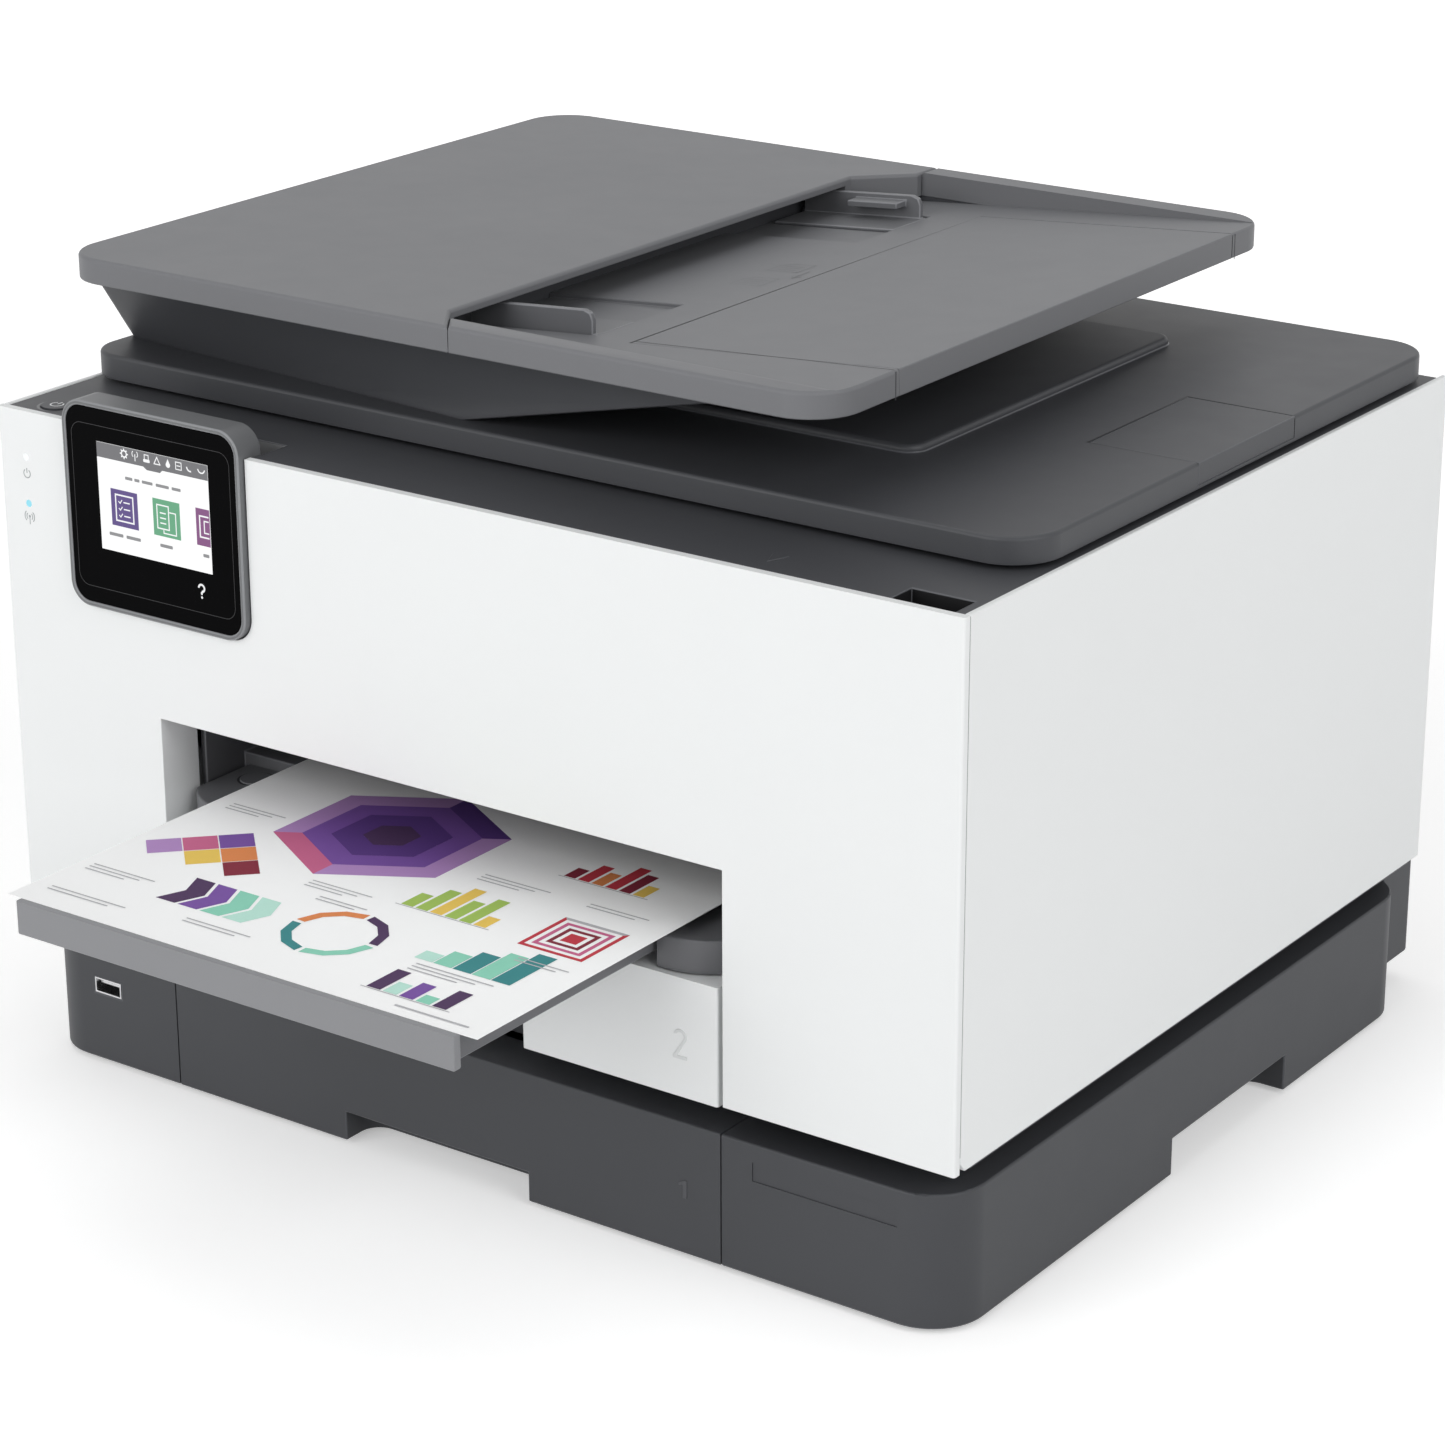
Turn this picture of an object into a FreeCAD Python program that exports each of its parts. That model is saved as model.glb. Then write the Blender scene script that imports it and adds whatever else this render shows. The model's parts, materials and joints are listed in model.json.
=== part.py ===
import FreeCAD, Part
import math
import os

V = FreeCAD.Vector

# All sizes are millimetres. Heights are from the floor, depths from the white front face.

# Fits
FIT = 0.3
PLAY = 0.05
SEAM = 0.3

# White body
BODY_W = 437.0
BODY_D = 354.0
SKIN_Z0 = 66.8
SKIN_Z1 = 269.5
SKIN_T = 2.5
DOOR_T = 3.5
EDGE_R = 1.2

# Dark base with the lower tray
FOOT_H = 2.0
FOOT_R = 9.0
BASE_INSET = 2.0
BASE_BACK = 352.0
BASE_TOP = 54.7
BASE_R = 22.0
BASE_LEDGE = 26.0
BASE_FLOOR = 3.0
BASE_BACK_WALL = 12.0
GRIP_Y = 203.0
GRIP_L = 89.0
GRIP_H = 15.0
GRIP_DEEP = 20.0
PLATE_INSET = 53.1
PLATE_Z = 43.7
PLATE_W = 61.4
PLATE_H = 7.4
PLATE_DEEP = 0.4
USB_INSET = 36.1
USB_Z = 34.4
USB_W = 14.0
USB_H = 6.6
USB_DEEP = 16.0

# Paper trays
TRAY_X = -12.2
TRAY1_W = 262.0
TRAY1_GAP = 0.6
TRAY_FRONT_D = 22.0
TRAY_WALL = 2.5
TRAY1_BACK_GAP = 20.0
TRAY1_TOP = 51.0
TRAY2_W = 258.0
TRAY2_BACK_GAP = 20.4
TRAY2_Z0 = 65.6
TRAY2_Z1 = 112.0
TRAY2_SET = 0.6
PULL_X = -13.2
PULL_W = 88.5
PULL_H = 12.0
PULL_DEEP = 17.0
GUIDE_T = 2.0
GUIDE_Y0 = 70.0
GUIDE_L = 190.0
GUIDE_H = 36.0
SHEET_W = 216.0
SHEET_L = 279.0
SHEET_T = 0.2
SHEET_X = -7.2

# Chassis
PLINTH_Z1 = 64.0
FLANGE_Y0 = 14.0
TUNNEL_T = 2.5
TUNNEL_Y0 = 24.0
TUNNEL_Y1 = 335.0
DECK_Z0 = 112.5
END_PLATE_INSET = 14.0
END_PLATE_T = 4.0
END_PLATE_Y0 = 40.0
END_PLATE_Y1 = 340.0

# Paper output
DECK_TOP = 130.0
DECK_Y0 = 46.0
DECK_Y1 = 198.0
OUT_WALL_TOP = 160.0
SHOULDER_Y0 = 3.0
SHOULDER_TOP = 125.5
SHOULDER_W = 28.3
SHOULDER_R = 29.0
SHOULDER_MID = 23.9
SHOULDER_GAP = 2.4
EXT_X = -9.5
EXT_W = 196.0
EXT_Y0 = -110.0
EXT_L = 198.0
EXT_Z0 = 117.3
EXT_Z1 = 127.5
EXT_RAIL = 8.0
EXT_PLATE = 4.0
BAR_X = -7.8
BAR_W = 201.5
BAR_T = 4.0
BAR_H = 13.0

# Front door and its window for the paper
OPEN_X0 = -141.6
OPEN_X1 = 121.3
OPEN_Z1 = 157.7
JAMB_D = 20.0
JAMB_T = 3.0
DOOR_PIN_Y = 9.0
DOOR_PIN_Z = 72.0
DOOR_PIN_R = 2.5
LUG_R = 4.5
LUG_W = 8.5
BOSS_T = 3.0
HEEL_D = 4.0
HEEL_H = 5.0
LED_INSET = 13.8
LED_Z = (251.1, 232.6)
LED_R = 1.6

# Control panel
CP_INSET = 81.0
CP_W = 88.6
CP_Z0 = 198.1
CP_H = 81.7
CP_R = 9.5
CP_PROUD = 3.0
CP_BACK = 10.0
CP_GAP = 0.5
CP_RIM = 2.0
CP_GLASS_T = 2.2
CP_GLASS_SET = 0.3
CP_PIN_Y = 7.0
CP_PIN_Z = 262.0
CP_PIN_R = 1.5
CP_WEB_T = 3.5
CP_WEB_H = 26.0
CP_WEB_DROP = 4.0
CP_ROOM = 13.0
CP_ROOM_H = 14.0
CP_ROOM_GAP = 1.0
SCREEN_SHIFT = 1.0
SCREEN_W = 55.8
SCREEN_Z0 = 222.8
SCREEN_H = 42.2
SCREEN_T = 1.0

# Flatbed scanner
SCAN_DROP = 0.3
SCAN_H = 33.2
SCAN_WALL = 3.0
SCAN_TOP_T = 3.2
SCAN_FRONT_WALL = 22.0
SCAN_SIDE_WALL = 13.0
SCAN_BACK = 349.8
GLASS_X = 5.0
GLASS_Y = 196.0
GLASS_W = 318.0
GLASS_D = 230.0
GLASS_T = 2.0
GLASS_LIP = 4.0
ROD_R = 3.0
SCAN_ROD_UP = 10.0
SCAN_BAR_INSET = 38.0
SCAN_BAR_W = 16.0
SCAN_BAR_L = 238.0
SCAN_BAR_UP = 14.0
SCAN_BAR_T = 12.5
BUSH_W = 20.0
BUTTON_INSET = 16.4
BUTTON_Y = 13.2
BUTTON_R = 6.0
BUTTON_H = 8.0
BUTTON_UP = 0.6
NOTCH_INSET = 16.5
NOTCH_W = 25.0
NOTCH_D = 13.0
NOTCH_DEEP = 7.0

# Scanner lid
LID_LEFT_SET = 0.5
LID_RIGHT_SET = 4.2
LID_Y0 = 47.6
LID_Y1 = 352.0
LID_GAP = 1.8
LID_T = 10.0
LID_LEFT_R = 16.0
LID_RIGHT_R = 20.0
LIP_R = 1.5
PLATEAU_X0 = -6.0
PLATEAU_X1 = 127.0
PLATEAU_Y0 = 112.0
PLATEAU_Y1 = 300.0
PLATEAU_H = 3.0
STOP_W = 45.0
STOP_Y = 198.0
STOP_L = 72.0
STOP_T = 8.4
HINGE_BACK = 6.0
HINGE_DROP = 6.2
HINGE_INSET = 87.5
HINGE_W = 32.0
HINGE_BARREL = 5.5
EAR_T = 6.0
BRACKET_T = 4.0
BRACKET_BACK = 12.0

# Document feeder
FEED_LEFT_SET = 0.5
FEED_RIGHT_SET = 79.0
FEED_Y0 = 36.3
FEED_Y1 = 353.0
FEED_RISE = 31.0
FEED_T = 10.0
FEED_R = 20.0
SEAM_X = -24.5
MOUTH_X = -38.0
MOUTH_Y0 = 55.0
MOUTH_Y1 = 318.0
SEAM_BACK_X = -18.0
SEAM_BACK_Y = 338.0
SLOPE_DROP = 13.4
PATH_Y = 200.5
COVER_TOP_T = 3.5
FEED_BASE_LEFT_SET = 5.0
FEED_BASE_RIGHT_SET = 36.5
FEED_BASE_Y0 = 48.0
FEED_BASE_Y1 = 346.0
FEED_FOOT_LEFT_SET = 0.5
FEED_FOOT_RIGHT = -30.0
FEED_FOOT_LEFT_Y0 = 73.0
FEED_FOOT_RIGHT_Y0 = 55.0
FEED_FOOT_Y1 = 338.0
FEED_BASE_R = 5.0
FEED_FLOOR_T = 3.0
FEED_FLOOR_X = -60.0
CAVITY_SET = 22.0
CAVITY_DEEP = 16.0
ROLLER_X = -75.0
ROLLER_DROP = 6.5
ROLLER_R = 8.5
ROLLER_SHAFT_R = 2.5
RIM_Y0 = 46.0
RIM_Y1 = 341.0
RIM_FALL = 0.344
RECESS_X = 3.7
RECESS_NEAR = 59.0
RECESS_FAR = 113.0
RECESS_DEEP = 1.8
PANEL_X0 = 23.6
PANEL_Y0 = 81.5
PANEL_Y1 = 320.0
PANEL_T = 3.0
PANEL_LIP = 4.0
PANEL_TRAVEL = 70.0
GROOVE_END = 6.0
FIN_X0 = -56.0
FIN_X1 = 1.0
FIN_Y = 91.0
FIN_T = 2.5
FIN_H = 8.9
FIN_FOOT_W = 22.0
COVER_PIN_SET = 5.0
COVER_PIN_UP = 3.0
COVER_PIN_R = 1.5
COVER_SWING_R = 6.4
COVER_ARM_Y = (125.0, 305.0)
COVER_ARM_W = 10.0

# Rear housing
HUMP_INSET = 13.5
HUMP_D = 29.0
HUMP_Z0 = 13.0
HUMP_DROP = 19.5
REAR_WALL = 3.0
REAR_PLATE_Z1 = 262.0
ACCESS_W = 240.0
ACCESS_Z0 = 95.0
ACCESS_Z1 = 205.0
ACCESS_PIN_R = 1.2
PORT_Z0 = 25.0
PORT_H = 20.0
PORT_D = 15.0
INLET_INSET = 42.0
INLET_W = 27.0
JACK_INSET = 57.0
JACK_W = 56.0
JACK_WIDTHS = (16.0, 12.0, 12.0)

# Print mechanism
BEAM_Y0 = 216.0
BEAM_Y1 = 246.0
BEAM_Z0 = 128.0
BEAM_Z1 = 136.0
BACK_BEAM_Y = 300.0
BACK_BEAM_Z0 = 150.0
PLATEN_T = 4.0
PLATEN_W = 232.0
RIB_H = 2.0
EJECT_Y = 207.0
EJECT_Z = 132.0
EJECT_R = 6.0
EJECT_SHAFT_R = 3.0
DRIVE_Y = 258.0
DRIVE_Z = 133.0
DRIVE_R = 8.0
DRIVE_SHAFT_R = 4.0
TYRE_PITCH = 45.0
TYRE_W = 28.0
CAR_INSET = 52.0
CAR_W = 92.0
CAR_Y0 = 214.0
CAR_Y1 = 262.0
CAR_Z0 = 150.0
CAR_Z1 = 200.0
CAR_WALL = 2.5
CAR_ROD_Y = 274.0
CAR_ROD_Z = 185.0
CAR_ROD_R = 4.0
HEAD_H = 6.0
HEAD_INSET = 12.0
INK_H = 55.0
BELT_Y = 286.0
BELT_W = 6.0
BELT_T = 1.2
BELT_Z = 212.0
PULLEY_R = 7.0
PULLEY_INSET = 14.0
CLAMP_T = 3.0
SUPPLY_GAP = 4.0
SUPPLY_SET = 6.4
SUPPLY_Y0 = 70.0
SUPPLY_Y1 = 250.0
SUPPLY_H = 48.0
VENT_STEP = 18.0
VENT_EDGE = 8.0
BOARD_SET = 8.7
BOARD_GAP = 4.0
BOARD_Y1 = 290.0
BOARD_L = 200.0
BOARD_T = 1.6
BOARD_POST = 5.0
CHIP_W = 24.0
CHIP_STEP = 50.0
PLUG_STEP = 40.0

# Sizes that follow from the ones above
HALF_W = BODY_W / 2
SCAN_TOP = SKIN_Z1 - SCAN_DROP
SCAN_Z0 = SCAN_TOP - SCAN_H
SCAN_ROD_Z = SCAN_Z0 + SCAN_ROD_UP
SCAN_BAR_Z0 = SCAN_Z0 + SCAN_BAR_UP
SCAN_BAR_Z1 = SCAN_BAR_Z0 + SCAN_BAR_T
LID_Z0 = SCAN_TOP + LID_GAP
LID_Z1 = LID_Z0 + LID_T
STOP_Z0 = LID_Z1 - STOP_T
FEED_Z0 = LID_Z1 + FEED_RISE
FEED_Z1 = FEED_Z0 + FEED_T
SLOPE_Z = FEED_Z1 - SLOPE_DROP
CAVITY_Z = FEED_Z0 - CAVITY_DEEP
ROLLER_Z = FEED_Z0 - ROLLER_DROP
COVER_PIN_Z = FEED_Z0 + COVER_PIN_UP
HINGE_Z = SCAN_TOP - HINGE_DROP
HINGE_Y = BODY_D + HINGE_BACK
HUMP_BACK = BASE_BACK + HUMP_D
HUMP_Z1 = SKIN_Z1 - HUMP_DROP
IN_X = HALF_W - SKIN_T
BASE_X = HALF_W - BASE_INSET
USB_X = -BASE_X + USB_INSET
PLATE_X = BASE_X - PLATE_INSET
END_PLATE_X = IN_X - END_PLATE_INSET
LED_X = -HALF_W + LED_INSET
CP_X = -HALF_W + CP_INSET
SCREEN_X = CP_X + SCREEN_SHIFT
SCAN_BAR_X = -IN_X + SCAN_BAR_INSET
BUTTON_X = -IN_X + BUTTON_INSET
NOTCH_X = IN_X - NOTCH_INSET
LID_X0 = -HALF_W + LID_LEFT_SET
LID_X1 = HALF_W - LID_RIGHT_SET
HINGE_X = HALF_W - HINGE_INSET
FEED_X0 = -HALF_W + FEED_LEFT_SET
FEED_X1 = HALF_W - FEED_RIGHT_SET
FEED_BASE_LEFT = FEED_X0 + FEED_BASE_LEFT_SET
FEED_BASE_RIGHT = FEED_X1 - FEED_BASE_RIGHT_SET
FEED_FOOT_LEFT = FEED_X0 + FEED_FOOT_LEFT_SET
CAVITY_X = FEED_X0 + CAVITY_SET
COVER_PIN_X = FEED_X0 + COVER_PIN_SET
HUMP_W = BODY_W - 2 * HUMP_INSET
INLET_X = HUMP_W / 2 - INLET_INSET
JACK_X = -HUMP_W / 2 + JACK_INSET
CAR_X = END_PLATE_X - CAR_INSET
PULLEY_X = END_PLATE_X - PULLEY_INSET
SUPPLY_X0 = -END_PLATE_X + SUPPLY_GAP
SUPPLY_X1 = OPEN_X0 - SUPPLY_SET
BOARD_X0 = OPEN_X1 + BOARD_SET
BOARD_X1 = END_PLATE_X - BOARD_GAP
BOARD_Y0 = BOARD_Y1 - BOARD_L
TRAY1_X0 = TRAY_X - TRAY1_W / 2
TRAY1_X1 = TRAY_X + TRAY1_W / 2
BAR_Y0 = EXT_Y0 - BAR_T
MIDDLE_Y = (BAR_Y0 + HUMP_BACK) / 2
SLOPE = (FEED_Z1 - SLOPE_Z) / (FEED_X1 - MOUTH_X)


def box(x0, x1, y0, y1, z0, z1):
    return Part.makeBox(x1 - x0, y1 - y0, z1 - z0, V(x0, y0, z0))


def rod_x(x0, x1, y, z, r):
    return Part.makeCylinder(r, x1 - x0, V(x0, y, z), V(1, 0, 0))


def rod_y(x, y0, y1, z, r):
    return Part.makeCylinder(r, y1 - y0, V(x, y0, z), V(0, 1, 0))


def rod_z(x, y, z0, z1, r):
    return Part.makeCylinder(r, z1 - z0, V(x, y, z0), V(0, 0, 1))


def prism_xz(points, y0, y1):
    loop = [V(x, y0, z) for x, z in points]
    return Part.Face(Part.makePolygon(loop + loop[:1])).extrude(V(0, y1 - y0, 0))


def prism_yz(points, x0, x1):
    loop = [V(x0, y, z) for y, z in points]
    return Part.Face(Part.makePolygon(loop + loop[:1])).extrude(V(x1 - x0, 0, 0))


def prism_xy(points, z0, z1):
    loop = [V(x, y, z0) for x, y in points]
    return Part.Face(Part.makePolygon(loop + loop[:1])).extrude(V(0, 0, z1 - z0))


def rounded(shape, radius, test):
    edges = [e for e in shape.Edges if test(e)]
    return shape.makeFillet(radius, edges)


def upright(edge):
    a = edge.Vertexes[0].Point
    b = edge.Vertexes[-1].Point
    return abs(a.x - b.x) < 1e-6 and abs(a.y - b.y) < 1e-6 and abs(a.z - b.z) > 1e-6


def upright_at(spots):
    def test(edge):
        if not upright(edge):
            return False
        p = edge.Vertexes[0].Point
        return any(abs(p.x - x) < 1e-4 and abs(p.y - y) < 1e-4 for x, y in spots)
    return test


def level_at(z):
    def test(edge):
        return all(abs(v.Point.z - z) < 1e-4 for v in edge.Vertexes)
    return test


def rounded_box(x0, x1, y0, y1, z0, z1, r):
    return rounded(box(x0, x1, y0, y1, z0, z1), r, upright)


def rounded_front(x0, x1, y0, y1, z0, z1, r):
    def along_y(edge):
        a = edge.Vertexes[0].Point
        b = edge.Vertexes[-1].Point
        return abs(a.x - b.x) < 1e-6 and abs(a.z - b.z) < 1e-6
    return rounded(box(x0, x1, y0, y1, z0, z1), r, along_y)


def fuse(first, *others):
    return first.fuse(list(others)).removeSplitter()


def group(shapes):
    return Part.makeCompound(shapes)


def sides(make):
    return [make(side) for side in (-1, 1)]


def span(side, near, far):
    return (near, far) if side > 0 else (-far, -near)


def slope_z(x):
    return FEED_Z1 - (FEED_X1 - x) * SLOPE


def finger_pull(z0, y0):
    x0 = PULL_X - PULL_W / 2
    x1 = PULL_X + PULL_W / 2
    back = y0 + PULL_DEEP
    cut = box(x0, x1, y0 - 1, back, z0 - 1, z0 + PULL_H)
    return rounded(cut, 8.0, upright_at([(x0, back), (x1, back)]))


def base_tub():
    front = BASE_INSET
    tub = rounded_box(-BASE_X, BASE_X, front, BASE_BACK, FOOT_H, BASE_TOP, BASE_R)
    tub = rounded(tub, 1.0, level_at(BASE_TOP))
    x0 = TRAY1_X0 - TRAY1_GAP
    x1 = TRAY1_X1 + TRAY1_GAP
    back = front + TRAY_FRONT_D + TRAY1_GAP
    mouth = box(x0, x1, front - 1, back, FOOT_H - 1, BASE_TOP + 1)
    slot = box(x0, x1, back - 1, BASE_BACK - BASE_BACK_WALL, FOOT_H + BASE_FLOOR, BASE_TOP + 1)
    tub = tub.cut(mouth).cut(slot)
    for a, b in ((-BASE_X + BASE_LEDGE + 2, x0 - 4), (x1 + 4, BASE_X - BASE_LEDGE - 2)):
        well = box(a, b, front + BASE_LEDGE + 4, BASE_BACK - 14.0, FOOT_H + BASE_FLOOR, BASE_TOP + 1)
        tub = tub.cut(well)
    for side in (-1, 1):
        a, b = span(side, BASE_X - GRIP_DEEP, BASE_X + 1)
        y0 = GRIP_Y - GRIP_L / 2
        y1 = GRIP_Y + GRIP_L / 2
        inner = side * (BASE_X - GRIP_DEEP)
        grip = box(a, b, y0, y1, FOOT_H - 1, FOOT_H + GRIP_H)
        grip = rounded(grip, 10.0, upright_at([(inner, y0), (inner, y1)]))
        tub = tub.cut(grip)
    usb = box(USB_X - USB_W / 2, USB_X + USB_W / 2, front - 1, front + USB_DEEP,
              USB_Z - USB_H / 2, USB_Z + USB_H / 2)
    plate = box(PLATE_X - PLATE_W / 2, PLATE_X + PLATE_W / 2, front - 1, front + PLATE_DEEP,
                PLATE_Z - PLATE_H / 2, PLATE_Z + PLATE_H / 2)
    return tub.cut(usb).cut(plate)


def foot_pads():
    x = BASE_X - 34.0
    spots = [(sx * x, y) for sx in (-1, 1) for y in (36.0, BASE_BACK - 36.0)]
    return group([rod_z(sx, sy, 0, FOOT_H, FOOT_R) for sx, sy in spots])


def usb_socket():
    y0 = BASE_INSET
    body = box(USB_X - USB_W / 2, USB_X + USB_W / 2, y0, y0 + USB_DEEP,
               USB_Z - USB_H / 2, USB_Z + USB_H / 2)
    wall = 0.7
    hollow = box(USB_X - USB_W / 2 + wall, USB_X + USB_W / 2 - wall, y0 - 1, y0 + USB_DEEP - 2,
                 USB_Z - USB_H / 2 + wall, USB_Z + USB_H / 2 - wall)
    tongue = box(USB_X - 5.5, USB_X + 5.5, y0 + 2, y0 + USB_DEEP - 1, USB_Z + 0.4, USB_Z + 2.2)
    return fuse(body.cut(hollow), tongue)


def chassis_floor():
    x = BASE_X - BASE_LEDGE
    y0 = BASE_INSET + BASE_LEDGE
    floor = rounded_box(-x, x, y0, BASE_BACK - 7.0, BASE_TOP, PLINTH_Z1, 12.0)
    flanges = []
    for a, b in ((-IN_X, OPEN_X0 + 0.1), (OPEN_X1 + 0.2, IN_X)):
        flanges.append(box(a, b, FLANGE_Y0, BODY_D - 4.0, PLINTH_Z1, SKIN_Z0))
    rear = box(-IN_X, IN_X, TUNNEL_Y1, BODY_D - 4.0, PLINTH_Z1, SKIN_Z0)
    left = box(OPEN_X0 + 0.1 - TUNNEL_T, OPEN_X0 + 0.1, TUNNEL_Y0, TUNNEL_Y1, SKIN_Z0, DECK_Z0)
    right = box(OPEN_X1 + 0.2, OPEN_X1 + 0.2 + TUNNEL_T, TUNNEL_Y0, TUNNEL_Y1, SKIN_Z0, DECK_Z0)
    return fuse(floor, *flanges, rear, left, right)


def inner_frame():
    x = END_PLATE_X
    parts = []
    for side in (-1, 1):
        a, b = span(side, x, x + END_PLATE_T)
        parts.append(box(a, b, END_PLATE_Y0, END_PLATE_Y1, SKIN_Z0, SCAN_Z0))
    beam = box(-x, x, BEAM_Y0, BEAM_Y1, BEAM_Z0, BEAM_Z1)
    back = box(-x, x, BACK_BEAM_Y, BACK_BEAM_Y + 3.0, BACK_BEAM_Z0, SCAN_Z0)
    frame = fuse(parts[0], parts[1], beam, back)
    far = x + END_PLATE_T + 1
    holes = ((EJECT_Y, EJECT_Z, EJECT_SHAFT_R + PLAY), (DRIVE_Y, DRIVE_Z, DRIVE_SHAFT_R + PLAY),
             (CAR_ROD_Y, CAR_ROD_Z, CAR_ROD_R))
    for y, z, r in holes:
        frame = frame.cut(rod_x(-far, far, y, z, r))
    for side in (-1, 1):
        hole = rod_y(side * PULLEY_X, BACK_BEAM_Y - 1, BACK_BEAM_Y + 4, BELT_Z, 2.0 + PLAY)
        frame = frame.cut(hole)
    return frame


def side_panel(side):
    a, b = span(side, IN_X, HALF_W)
    front = DOOR_T + SEAM
    panel = box(a, b, front, BODY_D, SKIN_Z0, SKIN_Z1)
    heel = [(front - 1, SKIN_Z0 - 1), (front + HEEL_D, SKIN_Z0 - 1), (front - 1, SKIN_Z0 + HEEL_H)]
    panel = panel.cut(prism_yz(heel, a, b))
    c, d = span(side, IN_X - BOSS_T, IN_X)
    boss = rod_x(c, d, DOOR_PIN_Y, DOOR_PIN_Z, LUG_R)
    hole = rod_x(c, d, DOOR_PIN_Y, DOOR_PIN_Z, DOOR_PIN_R)
    return fuse(panel, boss).cut(hole)


def door_hinge_pins():
    def pin(side):
        a, b = span(side, IN_X - BOSS_T - LUG_W - 1.5, IN_X)
        return rod_x(a, b, DOOR_PIN_Y, DOOR_PIN_Z, DOOR_PIN_R)
    return group(sides(pin))


def front_door():
    skin = box(-HALF_W, HALF_W, 0, DOOR_T, SKIN_Z0, SKIN_Z1)
    window = box(OPEN_X0, OPEN_X1, -1, DOOR_T + 1, SKIN_Z0 - 1, OPEN_Z1)
    x0 = CP_X - CP_W / 2 - CP_GAP
    x1 = CP_X + CP_W / 2 + CP_GAP
    socket = rounded_front(x0, x1, -1, DOOR_T + 1, CP_Z0 - CP_GAP, SKIN_Z1 + 2 * CP_R, CP_R + CP_GAP)
    skin = rounded(skin, EDGE_R, upright_at([(-HALF_W, 0), (HALF_W, 0)]))
    skin = skin.cut(window).cut(socket)
    jambs = box(OPEN_X0 - JAMB_T, OPEN_X1 + JAMB_T, DOOR_T, JAMB_D, SKIN_Z0 + 0.6, OPEN_Z1 + JAMB_T)
    jambs = jambs.cut(box(OPEN_X0, OPEN_X1, 0, JAMB_D + 1, SKIN_Z0 - 1, OPEN_Z1))
    webs = []
    for a, b in ((x0 - CP_WEB_T, x0), (x1, x1 + CP_WEB_T)):
        top = SKIN_Z1 - CP_WEB_DROP
        web = box(a, b, DOOR_T, CP_BACK + 2.0, top - CP_WEB_H, top)
        webs.append(web)
    lugs = []
    for side in (-1, 1):
        a, b = span(side, IN_X - BOSS_T - 0.5 - LUG_W, IN_X - BOSS_T - 0.5)
        barrel = rod_x(a, b, DOOR_PIN_Y, DOOR_PIN_Z, LUG_R)
        web = box(a, b, DOOR_T, DOOR_PIN_Y, DOOR_PIN_Z - LUG_R, DOOR_PIN_Z + LUG_R)
        lugs.append(fuse(barrel, web))
    door = fuse(skin, jambs, *webs, *lugs)
    door = door.cut(rod_x(-HALF_W + 1, HALF_W - 1, DOOR_PIN_Y, DOOR_PIN_Z, DOOR_PIN_R + PLAY))
    door = door.cut(rod_x(x0 - CP_WEB_T, x1 + CP_WEB_T, CP_PIN_Y, CP_PIN_Z, CP_PIN_R))
    for z in LED_Z:
        door = door.cut(rod_y(LED_X, -1, DOOR_T + 1, z, LED_R))
    return door


def status_lights():
    return group([rod_y(LED_X, 0, DOOR_T, z, LED_R) for z in LED_Z])


def control_bezel():
    x0 = CP_X - CP_W / 2
    x1 = CP_X + CP_W / 2
    z1 = CP_Z0 + CP_H
    shell = rounded_front(x0, x1, -CP_PROUD, CP_BACK, CP_Z0, z1, CP_R)
    glass_y = -CP_PROUD + CP_GLASS_SET + CP_GLASS_T
    seat = rounded_front(x0 + CP_RIM, x1 - CP_RIM, -CP_PROUD - 1, glass_y,
                         CP_Z0 + CP_RIM, z1 - CP_RIM, CP_R - CP_RIM)
    hollow = rounded_front(x0 + 6, x1 - 6, glass_y + 2, CP_BACK + 1, CP_Z0 + 6, z1 - 6, CP_R - 6)
    pins = rod_x(x0 - 1, x1 + 1, CP_PIN_Y, CP_PIN_Z, CP_PIN_R + PLAY)
    return shell.cut(seat).cut(hollow).cut(pins)


def screen_space(y0, y1):
    return box(SCREEN_X - SCREEN_W / 2, SCREEN_X + SCREEN_W / 2, y0, y1, SCREEN_Z0, SCREEN_Z0 + SCREEN_H)


def control_glass():
    x0 = CP_X - CP_W / 2 + CP_RIM
    x1 = CP_X + CP_W / 2 - CP_RIM
    y0 = -CP_PROUD + CP_GLASS_SET
    glass = rounded_front(x0, x1, y0, y0 + CP_GLASS_T, CP_Z0 + CP_RIM, CP_Z0 + CP_H - CP_RIM, CP_R - CP_RIM)
    return glass.cut(screen_space(y0 - 1, y0 + SCREEN_T))


def display():
    y0 = -CP_PROUD + CP_GLASS_SET
    return screen_space(y0, y0 + SCREEN_T)


def control_pins():
    x = CP_W / 2 + CP_GAP + CP_WEB_T
    left = rod_x(CP_X - x, CP_X - CP_W / 2 + 4.0, CP_PIN_Y, CP_PIN_Z, CP_PIN_R)
    right = rod_x(CP_X + CP_W / 2 - 4.0, CP_X + x, CP_PIN_Y, CP_PIN_Z, CP_PIN_R)
    return group([left, right])


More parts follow.
